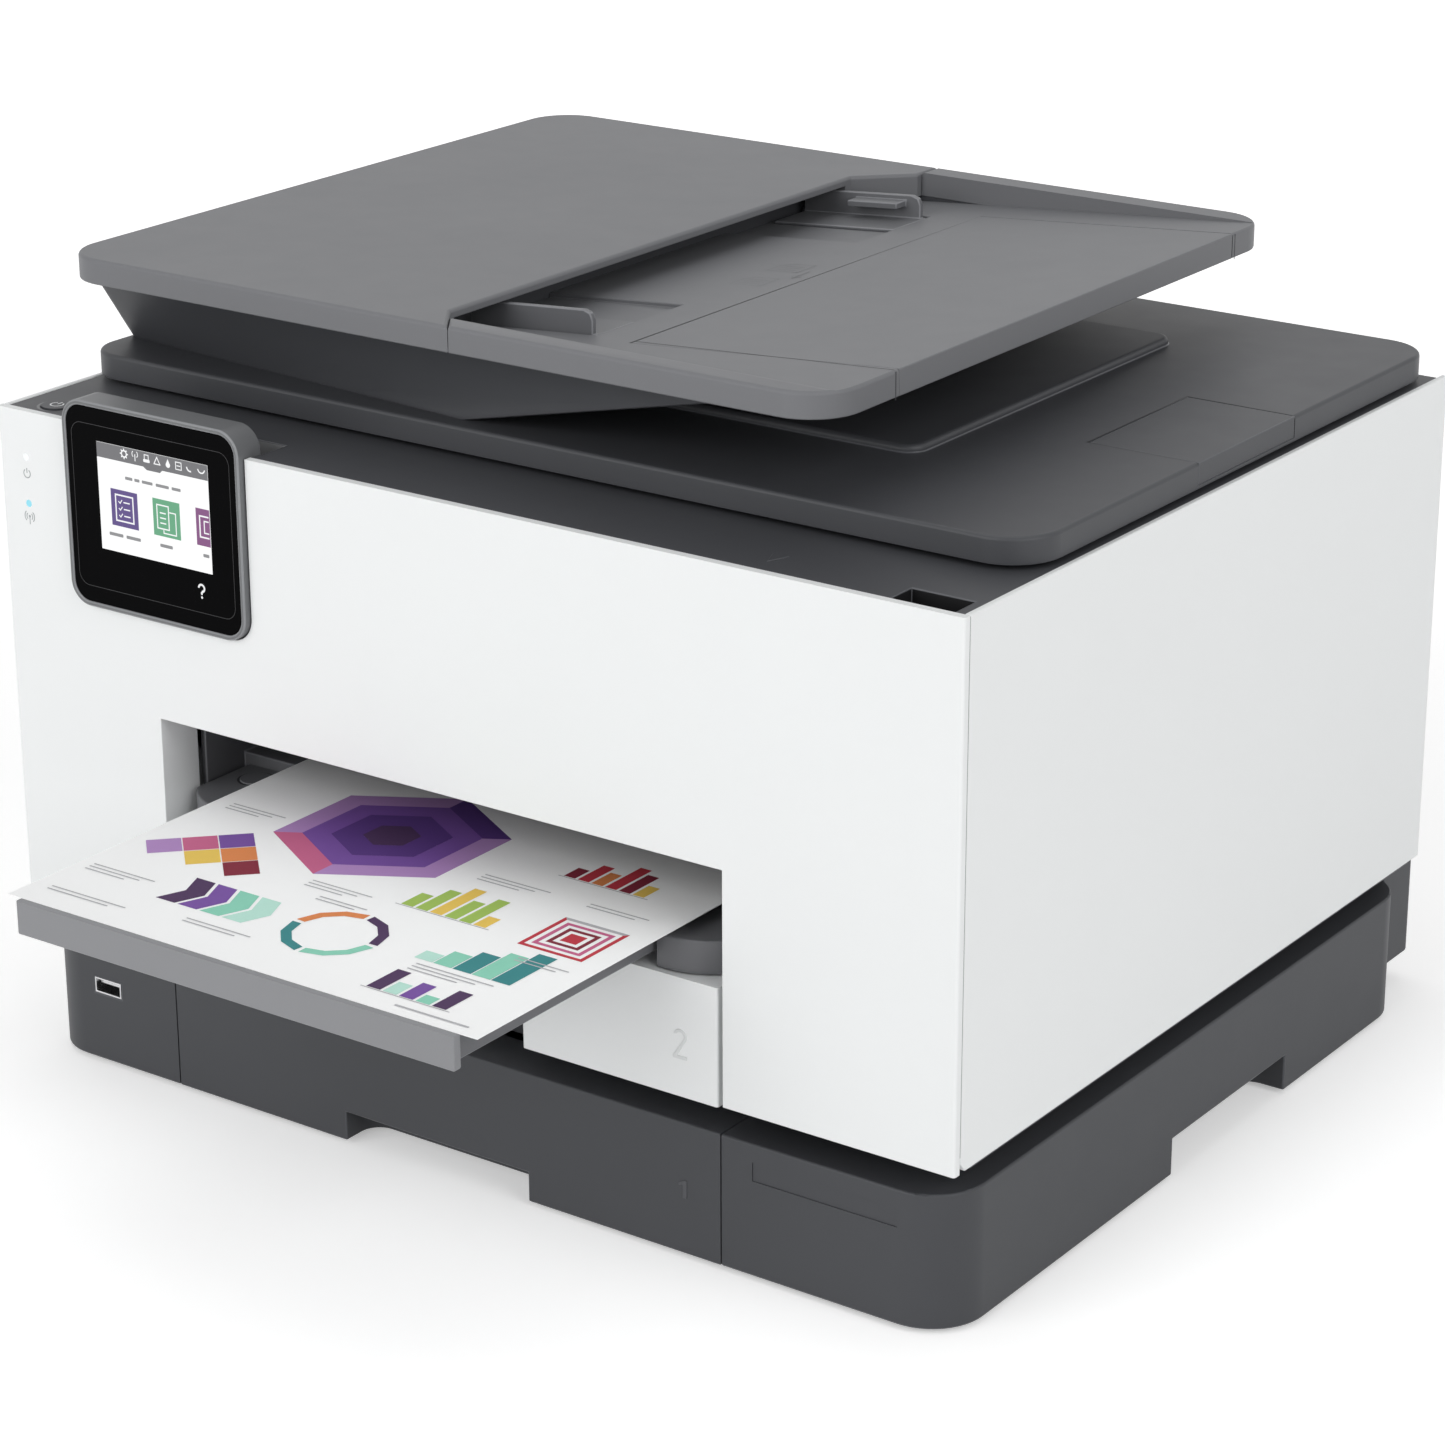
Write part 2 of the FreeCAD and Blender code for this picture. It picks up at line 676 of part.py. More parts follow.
def scanner_housing():
    y0 = DOOR_T + 0.5
    shell = box(-IN_X, IN_X, y0, SCAN_BACK, SCAN_Z0, SCAN_TOP)
    x = IN_X - SCAN_SIDE_WALL
    shell = shell.cut(box(-x, x, y0 + SCAN_FRONT_WALL, SCAN_BACK - 12.0,
                          SCAN_Z0 + SCAN_WALL, SCAN_TOP - SCAN_TOP_T))
    lip = GLASS_LIP
    shell = shell.cut(glass_space(-lip, SCAN_TOP - SCAN_TOP_T - 1, SCAN_TOP + 1))
    shell = shell.cut(glass_space(0, SCAN_TOP - GLASS_T, SCAN_TOP + 1))
    a = CP_X - CP_W / 2 - CP_GAP - CP_WEB_T - 2.0
    b = CP_X + CP_W / 2 + CP_GAP + CP_WEB_T + 2.0
    web_space = box(a, b, y0 - 1, CP_BACK + 3.0, SCAN_Z0 - 1, SKIN_Z1 - CP_WEB_DROP + 0.6)
    side = CP_W / 2 + CP_ROOM_GAP
    tilt_space = box(CP_X - side, CP_X + side, y0 - 1, CP_BACK + CP_ROOM, SCAN_TOP - CP_ROOM_H, SCAN_TOP + 1)
    shell = shell.cut(web_space).cut(tilt_space)
    shell = shell.cut(rod_z(BUTTON_X, BUTTON_Y, SCAN_TOP - BUTTON_H - 3, SCAN_TOP + 1, BUTTON_R + FIT))
    notch = box(NOTCH_X - NOTCH_W / 2, NOTCH_X + NOTCH_W / 2, y0 - 1, y0 + NOTCH_D,
                SCAN_TOP - NOTCH_DEEP, SCAN_TOP + 1)
    return shell.cut(notch)


def glass_space(grow, z0, z1):
    w = GLASS_W / 2 + grow
    d = GLASS_D / 2 + grow
    return box(GLASS_X - w, GLASS_X + w, GLASS_Y - d, GLASS_Y + d, z0, z1)


def scanner_glass():
    return glass_space(0, SCAN_TOP - GLASS_T, SCAN_TOP)


def scan_rod():
    x = IN_X - SCAN_SIDE_WALL
    return rod_x(-x, x, GLASS_Y, SCAN_ROD_Z, ROD_R)


def scan_bar():
    x0 = SCAN_BAR_X
    x1 = SCAN_BAR_X + SCAN_BAR_W
    bar = box(x0, x1, GLASS_Y - SCAN_BAR_L / 2, GLASS_Y + SCAN_BAR_L / 2, SCAN_BAR_Z0, SCAN_BAR_Z1)
    slot = box(x0 + 5, x1 - 5, GLASS_Y - SCAN_BAR_L / 2 + 6, GLASS_Y + SCAN_BAR_L / 2 - 6,
               SCAN_BAR_Z1 - 3, SCAN_BAR_Z1 + 1)
    bush = box(x0, x1, GLASS_Y - BUSH_W / 2, GLASS_Y + BUSH_W / 2, SCAN_ROD_Z - ROD_R - 3, SCAN_BAR_Z0)
    bar = fuse(bar.cut(slot), bush)
    return bar.cut(rod_x(x0 - 1, x1 + 1, GLASS_Y, SCAN_ROD_Z, ROD_R + PLAY))


def power_button():
    top = SCAN_TOP + BUTTON_UP
    return rod_z(BUTTON_X, BUTTON_Y, top - BUTTON_H, top, BUTTON_R)


def scanner_lid():
    lid = box(LID_X0, LID_X1, LID_Y0, LID_Y1, LID_Z0, LID_Z1)
    lid = rounded(lid, LID_LEFT_R, upright_at([(LID_X0, LID_Y0), (LID_X0, LID_Y1)]))
    lid = rounded(lid, LID_RIGHT_R, upright_at([(LID_X1, LID_Y0), (LID_X1, LID_Y1)]))
    lid = rounded(lid, LIP_R, level_at(LID_Z1))
    rise = rounded_box(PLATEAU_X0, PLATEAU_X1, PLATEAU_Y0, PLATEAU_Y1, LID_Z1 - 1, LID_Z1 + PLATEAU_H, 8.0)
    rise = rounded(rise, 2.0, level_at(LID_Z1 + PLATEAU_H))
    lugs = [lid_lug(side) for side in (-1, 1)]
    lid = fuse(lid, rise, *lugs)
    pocket = stop_space(FIT, LID_Z1 + 1)
    lid = lid.cut(pocket)
    return lid.cut(rod_x(-HINGE_X - HINGE_W, HINGE_X + HINGE_W, HINGE_Y, HINGE_Z, ROD_R + PLAY))


def lid_lug(side):
    a, b = span(side, HINGE_X - HINGE_W / 2, HINGE_X + HINGE_W / 2)
    y = HINGE_Y
    z = HINGE_Z
    arm = [(LID_Y1 - 6, LID_Z0), (LID_Y1 - 6, LID_Z1 - 2), (LID_Y1, LID_Z1 - 2), (y + 4.5, z + 3.0),
           (y, z), (y - 5, z + 1.5), (LID_Y1, LID_Z0)]
    return fuse(prism_yz(arm, a, b), rod_x(a, b, y, z, HINGE_BARREL))


def stop_space(grow, top):
    return box(LID_X1 - STOP_W - grow, LID_X1 + grow * 4, STOP_Y - STOP_L / 2 - grow,
               STOP_Y + STOP_L / 2 + grow, STOP_Z0, top)


def document_stop():
    return stop_space(0, LID_Z1)


def lid_pad():
    return glass_space(-GLASS_LIP - 2, SCAN_TOP, LID_Z0)


def hinge_brackets():
    def bracket(side):
        a, b = span(side, HINGE_X - HINGE_W / 2 - 0.6 - EAR_T, HINGE_X + HINGE_W / 2 + 0.6 + EAR_T)
        foot = box(a, b, HINGE_Y - 5, HINGE_Y + BRACKET_BACK, HUMP_Z1, HUMP_Z1 + BRACKET_T)
        ears = []
        for c in (a, b - EAR_T):
            post = box(c, c + EAR_T, HINGE_Y - 5, HINGE_Y + 5, HUMP_Z1 + BRACKET_T, HINGE_Z)
            ears.append(fuse(post, rod_x(c, c + EAR_T, HINGE_Y, HINGE_Z, 5.0)))
        shape = fuse(foot, *ears)
        return shape.cut(rod_x(a - 1, b + 1, HINGE_Y, HINGE_Z, ROD_R))
    return group(sides(bracket))


def hinge_pins():
    def pin(side):
        far = HINGE_W / 2 + 0.6 + EAR_T + 1.5
        a, b = span(side, HINGE_X - far, HINGE_X + far)
        return rod_x(a, b, HINGE_Y, HINGE_Z, ROD_R)
    return group(sides(pin))


def feeder_floor():
    x0 = FEED_FLOOR_X
    x1 = FEED_BASE_RIGHT
    low = FEED_FLOOR_T
    points = [(x0, slope_z(x0) - low), (x1, FEED_Z0), (x0, FEED_Z0)]
    return prism_xz(points, FEED_Y0 + 20.0, RIM_Y1)


def feeder_base():
    def outline(points, z):
        slab = rounded(prism_xy(points, z, z + 1), FEED_BASE_R, upright)
        return [f for f in slab.Faces if abs(f.CenterOfMass.z - z) < 1e-4][0].OuterWire
    low = outline([(FEED_FOOT_LEFT, FEED_FOOT_LEFT_Y0), (FEED_FOOT_RIGHT, FEED_FOOT_RIGHT_Y0),
                   (FEED_FOOT_RIGHT, FEED_FOOT_Y1), (FEED_FOOT_LEFT, FEED_FOOT_Y1)], LID_Z1)
    high = outline([(FEED_BASE_LEFT, FEED_BASE_Y0), (FEED_BASE_RIGHT, FEED_BASE_Y0),
                    (FEED_BASE_RIGHT, FEED_BASE_Y1), (FEED_BASE_LEFT, FEED_BASE_Y1)], FEED_Z0)
    body = Part.makeLoft([low, high], True, True)
    body = body.cut(rod_y(COVER_PIN_X, FEED_Y0, FEED_Y1, COVER_PIN_Z, COVER_SWING_R))
    body = body.cut(feeder_floor())
    y0 = FEED_Y0 + 38.0
    y1 = FEED_Y1 - 22.0
    body = body.cut(box(CAVITY_X, FEED_FLOOR_X - 2, y0, y1, CAVITY_Z, FEED_Z0 + 1))
    body = body.cut(rod_y(ROLLER_X, y0 - 6, y1 + 6, ROLLER_Z, ROLLER_SHAFT_R + PLAY))
    arms = []
    for y in COVER_ARM_Y:
        a = y - COVER_ARM_W / 2
        b = y + COVER_ARM_W / 2
        knuckle = rod_y(COVER_PIN_X, a, b, COVER_PIN_Z, 3.2)
        root = COVER_PIN_X + 8
        web = prism_xz([(root, FEED_Z0 - 9), (root, FEED_Z0), (COVER_PIN_X + 1, COVER_PIN_Z + 1.5),
                        (COVER_PIN_X - 1.5, COVER_PIN_Z - 1.5)], a, b)
        arms.append(fuse(knuckle, web).cut(rod_y(COVER_PIN_X, a - 1, b + 1, COVER_PIN_Z, COVER_PIN_R + PLAY)))
    return fuse(body, *arms)


def cover_outline(gap):
    return [(FEED_X0, FEED_Y0), (SEAM_X - gap, FEED_Y0), (MOUTH_X - gap, MOUTH_Y0), (MOUTH_X - gap, MOUTH_Y1),
            (SEAM_BACK_X - gap, SEAM_BACK_Y), (SEAM_BACK_X - gap, FEED_Y1), (FEED_X0, FEED_Y1)]


def feeder_cover():
    slab = prism_xy(cover_outline(SEAM), FEED_Z0, FEED_Z1)
    corners = [(FEED_X0, FEED_Y0), (FEED_X0, FEED_Y1)]
    slab = rounded(slab, FEED_R, upright_at(corners))
    slab = rounded(slab, LIP_R, level_at(FEED_Z1))
    top = FEED_Z1 - COVER_TOP_T
    slab = slab.cut(box(COVER_PIN_X + 15, MOUTH_X + 2, MOUTH_Y0 + 2, MOUTH_Y1 - 4, FEED_Z0 - 1, top))
    for y in COVER_ARM_Y:
        gap = COVER_ARM_W / 2 + FIT
        notch = box(FEED_X0 - 1, COVER_PIN_X + 10, y - gap, y + gap, FEED_Z0 - 1, top + 0.2)
        pin = rod_y(COVER_PIN_X, y - gap - 2, y + gap + 2, COVER_PIN_Z, COVER_PIN_R)
        slab = fuse(slab.cut(notch), pin)
    return slab


def slope_band(x0, x1, above, below, y0, y1):
    points = [(x0, slope_z(x0) + below), (x1, slope_z(x1) + below),
              (x1, slope_z(x1) + above), (x0, slope_z(x0) + above)]
    return prism_xz(points, y0, y1)


def feeder_tray():
    far = FEED_X1
    outline = [(SEAM_X, FEED_Y0), (far, FEED_Y0), (far, FEED_Y1), (SEAM_BACK_X, FEED_Y1),
               (SEAM_BACK_X, SEAM_BACK_Y), (MOUTH_X, MOUTH_Y1), (MOUTH_X, MOUTH_Y0)]
    rim = prism_xy(outline, FEED_Z0, FEED_Z1)
    rim = rounded(rim, FEED_R, upright_at([(far, FEED_Y0), (far, FEED_Y1)]))
    rim = rounded(rim, LIP_R, level_at(FEED_Z1))
    tray = fuse(rim, feeder_floor())
    x0 = FEED_FLOOR_X - 1
    drop = 20.0
    ramp = prism_yz([(RIM_Y0, FEED_Z1), (RIM_Y0 + drop / RIM_FALL, FEED_Z1 - drop), (RIM_Y1, FEED_Z1 - drop),
                     (RIM_Y1, FEED_Z1 + drop), (RIM_Y0, FEED_Z1 + drop)], x0, far + 1)
    tray = tray.cut(slope_band(x0, far + 1, 20, 0, RIM_Y0, RIM_Y1).common(ramp))
    y0 = PANEL_Y0 - FIT
    y1 = PANEL_Y1 + FIT
    tray = tray.cut(slope_band(PANEL_X0 - FIT, far + 1, 3, -PANEL_T - FIT, y0, y1))
    tray = tray.cut(box(far - PANEL_LIP - FIT, far + 1, y0, y1, FEED_Z0 - 1, FEED_Z1 + 1))
    for a, b in ((y0 - 3, y0 + 1), (y1 - 1, y1 + 3)):
        tray = tray.cut(slope_band(PANEL_X0 - FIT, far - GROOVE_END, -0.8, -2.6, a, b))
    for side in (-1, 1):
        a, b = sorted((PATH_Y + side * RECESS_NEAR, PATH_Y + side * RECESS_FAR))
        tray = tray.cut(slope_band(x0, RECESS_X, 20, -RECESS_DEEP, a, b))
    return tray


def feeder_extension():
    far = FEED_X1
    panel = slope_band(PANEL_X0, far, 0, -PANEL_T, PANEL_Y0, PANEL_Y1)
    lip = box(far - PANEL_LIP, far, PANEL_Y0, PANEL_Y1, FEED_Z0, slope_z(far - PANEL_LIP))
    runners = []
    for a, b in ((PANEL_Y0 - 2.5, PANEL_Y0), (PANEL_Y1, PANEL_Y1 + 2.5)):
        runners.append(slope_band(PANEL_X0, far - GROOVE_END - PANEL_TRAVEL - 2, -1.1, -2.3, a, b))
    return fuse(panel, lip, *runners)


def feeder_guide(side):
    y = FIN_Y
    low = PLAY - RECESS_DEEP
    top = slope_z(FIN_X1) + FIN_H
    fin = prism_xz([(FIN_X0, slope_z(FIN_X0) + low), (FIN_X1, slope_z(FIN_X1) + low),
                    (FIN_X1, top - 4), (FIN_X1 - 1.2, top - 1.2), (FIN_X1 - 4, top - 0.3),
                    (FIN_X0, slope_z(FIN_X0) + FIN_H)], y - FIN_T, y)
    foot = slope_band(FIN_X0, FIN_X1 + 1.5, low + 1.3, low, y - FIN_T, y + FIN_FOOT_W)
    shape = fuse(fin, foot)
    if side > 0:
        tab = slope_band(FIN_X1 - 31, FIN_X1 - 7, FIN_H - 2, FIN_H - 4.5, y, y + 7.0)
        shape = fuse(shape, tab)
        shape = shape.mirror(V(0, PATH_Y, 0), V(0, 1, 0))
    return shape


def feeder_roller():
    y0 = FEED_Y0 + 38.0
    y1 = FEED_Y1 - 22.0
    shaft = rod_y(ROLLER_X, y0 - 5.5, y1 + 5.5, ROLLER_Z, ROLLER_SHAFT_R)
    tyres = [rod_y(ROLLER_X, y - 11, y + 11, ROLLER_Z, ROLLER_R) for y in (PATH_Y - 60, PATH_Y, PATH_Y + 60)]
    return fuse(shaft, *tyres)


def rear_housing():
    y0 = BODY_D - 4.0
    plate = box(-IN_X, IN_X, y0, BODY_D, SKIN_Z0, REAR_PLATE_Z1)
    x = HUMP_W / 2
    hump = box(-x, x, BASE_BACK, HUMP_BACK, HUMP_Z0, HUMP_Z1)
    shape = fuse(plate, rounded(hump, 6.0, upright_at([(-x, HUMP_BACK), (x, HUMP_BACK)])))
    w = REAR_WALL
    shape = shape.cut(box(-x + w, x - w, BODY_D, HUMP_BACK - w, HUMP_Z0 + w, HUMP_Z1 - w))
    shape = shape.cut(box(-x + 12, x - 12, y0 - 1, BODY_D + 1, SKIN_Z0 + 4, HUMP_Z1 - 10))
    a = ACCESS_W / 2
    shape = shape.cut(box(-a, a, HUMP_BACK - w - 1, HUMP_BACK + 1, ACCESS_Z0, ACCESS_Z1))
    shape = shape.cut(access_pin(PLAY, 4.5))
    shape = shape.cut(port_space(INLET_X, INLET_W)).cut(port_space(JACK_X, JACK_W))
    return shape


def port_space(x, w):
    return box(x - w / 2, x + w / 2, HUMP_BACK - PORT_D, HUMP_BACK + 1, PORT_Z0, PORT_Z0 + PORT_H)


def access_pin(grow, reach):
    a = ACCESS_W / 2 + reach
    return rod_x(-a, a, HUMP_BACK - REAR_WALL / 2, ACCESS_Z0 + 3.0, ACCESS_PIN_R + grow)


def rear_access_cover():
    a = ACCESS_W / 2 - FIT
    door = box(-a, a, HUMP_BACK - REAR_WALL, HUMP_BACK, ACCESS_Z0 + 1.0, ACCESS_Z1 - FIT)
    thumb = box(-14, 14, HUMP_BACK - 1.5, HUMP_BACK + 1, ACCESS_Z1 - 14, ACCESS_Z1 - 5)
    return fuse(door.cut(thumb), access_pin(0, 3.5))


def power_inlet():
    shape = box(INLET_X - INLET_W / 2, INLET_X + INLET_W / 2, HUMP_BACK - PORT_D, HUMP_BACK,
                PORT_Z0, PORT_Z0 + PORT_H)
    mid = PORT_Z0 + PORT_H / 2
    shape = shape.cut(box(INLET_X - 9, INLET_X + 9, HUMP_BACK - 12, HUMP_BACK + 1, mid - 5, mid + 5))
    pins = [rod_y(INLET_X + dx, HUMP_BACK - 13, HUMP_BACK - 3, mid, 1.4) for dx in (-4, 4)]
    return fuse(shape, *pins)


def network_ports():
    shape = box(JACK_X - JACK_W / 2, JACK_X + JACK_W / 2, HUMP_BACK - PORT_D, HUMP_BACK,
                PORT_Z0, PORT_Z0 + PORT_H)
    x = JACK_X - JACK_W / 2
    for width in JACK_WIDTHS:
        x += 4.0
        shape = shape.cut(box(x, x + width, HUMP_BACK - 12, HUMP_BACK + 1, PORT_Z0 + 4, PORT_Z0 + PORT_H - 5))
        x += width
    return shape


def output_shoulder(side):
    edge = OPEN_X1 - SHOULDER_GAP if side > 0 else OPEN_X0 + SHOULDER_GAP
    x0, x1 = sorted((edge, edge - side * SHOULDER_W))
    y = SHOULDER_Y0 + SHOULDER_R
    nose = rod_z(edge - side * SHOULDER_MID, y, DECK_Z0, SHOULDER_TOP, SHOULDER_R)
    block = fuse(nose, box(x0, x1, y, DECK_Y0, DECK_Z0, SHOULDER_TOP))
    block = block.common(box(x0, x1, SHOULDER_Y0, DECK_Y0, DECK_Z0, SHOULDER_TOP))
    return rounded(block, 0.8, level_at(SHOULDER_TOP))


def output_tray():
    x0 = OPEN_X0 + 0.1 - TUNNEL_T
    x1 = OPEN_X1 + 0.2 + TUNNEL_T
    deck = box(x0, x1, DECK_Y0, DECK_Y1, DECK_Z0, DECK_TOP)
    walls = [box(a, a + TUNNEL_T, TUNNEL_Y0, DECK_Y1, DECK_Z0, OUT_WALL_TOP) for a in (x0, x1 - TUNNEL_T)]
    deck = fuse(deck, *walls, *sides(output_shoulder))
    slot = box(EXT_X - EXT_W / 2 - FIT, EXT_X + EXT_W / 2 + FIT, DECK_Y0 - 1, DECK_Y1 + 1,
               EXT_Z0 - FIT, EXT_Z1 + FIT)
    return deck.cut(slot)


def output_extension():
    x0 = EXT_X - EXT_W / 2
    x1 = EXT_X + EXT_W / 2
    y1 = EXT_Y0 + EXT_L
    plate = box(x0, x1, EXT_Y0, y1, EXT_Z1 - EXT_PLATE, EXT_Z1)
    left = box(x0, x0 + EXT_RAIL, EXT_Y0, y1, EXT_Z0, EXT_Z1)
    right = box(x1 - EXT_RAIL, x1, EXT_Y0, y1, EXT_Z0, EXT_Z1)
    lip = box(x0, x1, EXT_Y0, EXT_Y0 + 4, EXT_Z0, EXT_Z1)
    return fuse(plate, left, right, lip)


def extension_bar():
    z0 = DECK_TOP - BAR_H
    bar = box(BAR_X - BAR_W / 2, BAR_X + BAR_W / 2, BAR_Y0, EXT_Y0, z0, DECK_TOP)
    return rounded(bar, 0.8, lambda e: upright(e) or level_at(z0)(e))


def printed_sheet():
    return box(SHEET_X - SHEET_W / 2, SHEET_X + SHEET_W / 2, EXT_Y0 - 1.0, EXT_Y0 - 1.0 + SHEET_L,
               DECK_TOP, DECK_TOP + SHEET_T)


def tray_box(x0, x1, y0, y1, z0, z1):
    shape = box(x0, x1, y0, y1, z0, z1)
    w = TRAY_WALL
    return shape.cut(box(x0 + w, x1 - w, y0 + w, y1 - w, z0 + w, z1 + 1))


def tray1_box():
    y0 = BASE_INSET + TRAY_FRONT_D
    y1 = BASE_BACK - BASE_BACK_WALL - TRAY1_BACK_GAP
    return tray_box(TRAY1_X0 + 3, TRAY1_X1 - 3, y0, y1, FOOT_H + BASE_FLOOR, TRAY1_TOP)


def tray1_front():
    y0 = BASE_INSET
    front = box(TRAY1_X0, TRAY1_X1, y0, y0 + TRAY_FRONT_D, FOOT_H, BASE_TOP)
    front = rounded(front, 0.8, level_at(BASE_TOP))
    return front.cut(finger_pull(FOOT_H, y0))


def tray_guide(side, z0, y0):
    x = TRAY_X + side * (SHEET_W / 2 + 1.0)
    outer = x + side * GUIDE_T
    a, b = sorted((x, outer))
    wall = box(a, b, y0, y0 + GUIDE_L, z0, z0 + GUIDE_H)
    c, d = sorted((x - side * 24.0, x))
    foot = box(c, d, y0 + 40, y0 + GUIDE_L - 40, z0, z0 + 1.2)
    return fuse(wall, foot)


def tray2_box():
    y0 = TRAY2_SET + TRAY_FRONT_D
    x0 = TRAY_X - TRAY2_W / 2 + 3
    x1 = TRAY_X + TRAY2_W / 2 - 3
    return tray_box(x0, x1, y0, TUNNEL_Y1 - TRAY2_BACK_GAP, PLINTH_Z1, TRAY2_Z1 - 3)


def tray2_front():
    y0 = TRAY2_SET
    x0 = TRAY_X - TRAY2_W / 2 + 2
    x1 = TRAY_X + TRAY2_W / 2 + 2
    front = box(x0, x1, y0, y0 + TRAY_FRONT_D, TRAY2_Z0, TRAY2_Z1)
    front = rounded(front, 1.0, upright_at([(x0, y0), (x1, y0)]))
    return front.cut(finger_pull(TRAY2_Z0, y0))


def platen():
    x0 = TRAY_X - PLATEN_W / 2
    x1 = TRAY_X + PLATEN_W / 2
    plate = box(x0, x1, BEAM_Y0, BEAM_Y1, BEAM_Z1, BEAM_Z1 + PLATEN_T)
    ribs = [box(x0 + 10 + 23 * i, x0 + 12 + 23 * i, BEAM_Y0 + 2, BEAM_Y1 - 2,
                BEAM_Z1 + PLATEN_T, BEAM_Z1 + PLATEN_T + RIB_H) for i in range(10)]
    return fuse(plate, *ribs)


def paper_roller(y, z, r, shaft_r):
    x = END_PLATE_X + END_PLATE_T + 3.0
    shaft = rod_x(-x, x, y, z, shaft_r)
    middles = [TRAY_X + TYRE_PITCH * i for i in (-2, -1, 0, 1, 2)]
    tyres = [rod_x(mid - TYRE_W / 2, mid + TYRE_W / 2, y, z, r) for mid in middles]
    return fuse(shaft, *tyres)


def carriage():
    x0 = CAR_X - CAR_W / 2
    x1 = CAR_X + CAR_W / 2
    cup = box(x0, x1, CAR_Y0, CAR_Y1, CAR_Z0, CAR_Z1)
    w = CAR_WALL
    cup = cup.cut(box(x0 + w, x1 - w, CAR_Y0 - 1, CAR_Y1 - w, CAR_Z0 + w, CAR_Z1 + 1))
    lip = box(x0, x1, CAR_Y0, CAR_Y0 + w, CAR_Z0, CAR_Z0 + 8)
    bush = box(x0 + 10, x1 - 10, CAR_Y1, CAR_ROD_Y + CAR_ROD_R + 3, CAR_ROD_Z - 8, CAR_ROD_Z + 8)
    z = BELT_Z - PULLEY_R - BELT_T
    post = box(CAR_X - 8, CAR_X + 8, CAR_ROD_Y - 2, BELT_Y - BELT_W / 2 - FIT, CAR_ROD_Z + 4, z + 1.5)
    jaw = box(CAR_X - 8, CAR_X + 8, BELT_Y - BELT_W / 2 - FIT - 1, BELT_Y + BELT_W / 2,
              z - FIT - CLAMP_T, z - FIT)
    shape = fuse(cup, lip, bush, post, jaw)
    return shape.cut(rod_x(x0, x1, CAR_ROD_Y, CAR_ROD_Z, CAR_ROD_R + PLAY))


def print_head():
    x0 = CAR_X - CAR_W / 2 + HEAD_INSET
    x1 = CAR_X + CAR_W / 2 - HEAD_INSET
    return box(x0, x1, CAR_Y0 + 8, CAR_Y1 - HEAD_INSET, CAR_Z0 - HEAD_H + 1.0, CAR_Z0)


def cartridge(index):
    pitch = (CAR_W - 2 * CAR_WALL) / 4
    x0 = CAR_X - CAR_W / 2 + CAR_WALL + pitch * index + 0.4
    x1 = x0 + pitch - 0.8
    z0 = CAR_Z0 + CAR_WALL
    body = box(x0, x1, CAR_Y0 + CAR_WALL + 0.4, CAR_Y1 - CAR_WALL - 0.4, z0, z0 + INK_H)
    grip = box(x0 + 3, x1 - 3, CAR_Y0 - 3, CAR_Y0 + CAR_WALL + 0.4, z0 + INK_H - 16, z0 + INK_H - 4)
    return fuse(body, grip)


def carriage_rod():
    x = END_PLATE_X + END_PLATE_T
    return rod_x(-x, x, CAR_ROD_Y, CAR_ROD_Z, CAR_ROD_R)


def belt_loop(r, y0, y1):
    ends = [rod_y(side * PULLEY_X, y0, y1, BELT_Z, r) for side in (-1, 1)]
    return fuse(box(-PULLEY_X, PULLEY_X, y0, y1, BELT_Z - r, BELT_Z + r), *ends)


def carriage_belt():
    y0 = BELT_Y - BELT_W / 2
    y1 = BELT_Y + BELT_W / 2
    return belt_loop(PULLEY_R + BELT_T, y0, y1).cut(belt_loop(PULLEY_R, y0 - 1, y1 + 1))


def belt_pulley(side):
    x = side * PULLEY_X
    wheel = rod_y(x, BELT_Y - BELT_W / 2, BELT_Y + BELT_W / 2, BELT_Z, PULLEY_R - FIT)
    shaft = rod_y(x, BELT_Y, BACK_BEAM_Y + 3.0, BELT_Z, 2.0)
    return fuse(wheel, shaft)


def power_supply():
    top = SKIN_Z0 + SUPPLY_H
    shape = box(SUPPLY_X0, SUPPLY_X1, SUPPLY_Y0, SUPPLY_Y1, SKIN_Z0, top)
    for i in range(8):
        y = SUPPLY_Y0 + 20 + VENT_STEP * i
        shape = shape.cut(box(SUPPLY_X0 + VENT_EDGE, SUPPLY_X1 - VENT_EDGE, y, y + 6, top - 2, top + 1))
    return shape


def main_board():
    z = SKIN_Z0 + BOARD_POST
    y1 = BOARD_Y1
    board = box(BOARD_X0, BOARD_X1, BOARD_Y0, y1, z, z + BOARD_T)
    corners = [(x, y) for x in (BOARD_X0 + 5, BOARD_X1 - 5) for y in (BOARD_Y0 + 5, y1 - 5)]
    posts = [rod_z(x, y, SKIN_Z0, z, 3.0) for x, y in corners]
    x = BOARD_X0 + CHIP_W / 2
    chips = [box(x, x + CHIP_W, y, y + CHIP_W, z + BOARD_T, z + BOARD_T + 3)
             for y in (BOARD_Y0 + 20, BOARD_Y0 + 20 + CHIP_STEP)]
    plugs = [box(BOARD_X1 - 12, BOARD_X1 - 4, y, y + 20, z + BOARD_T, z + BOARD_T + 9)
             for y in [BOARD_Y0 + 20 + PLUG_STEP * i for i in range(4)]]
    return fuse(board, *posts, *chips, *plugs)


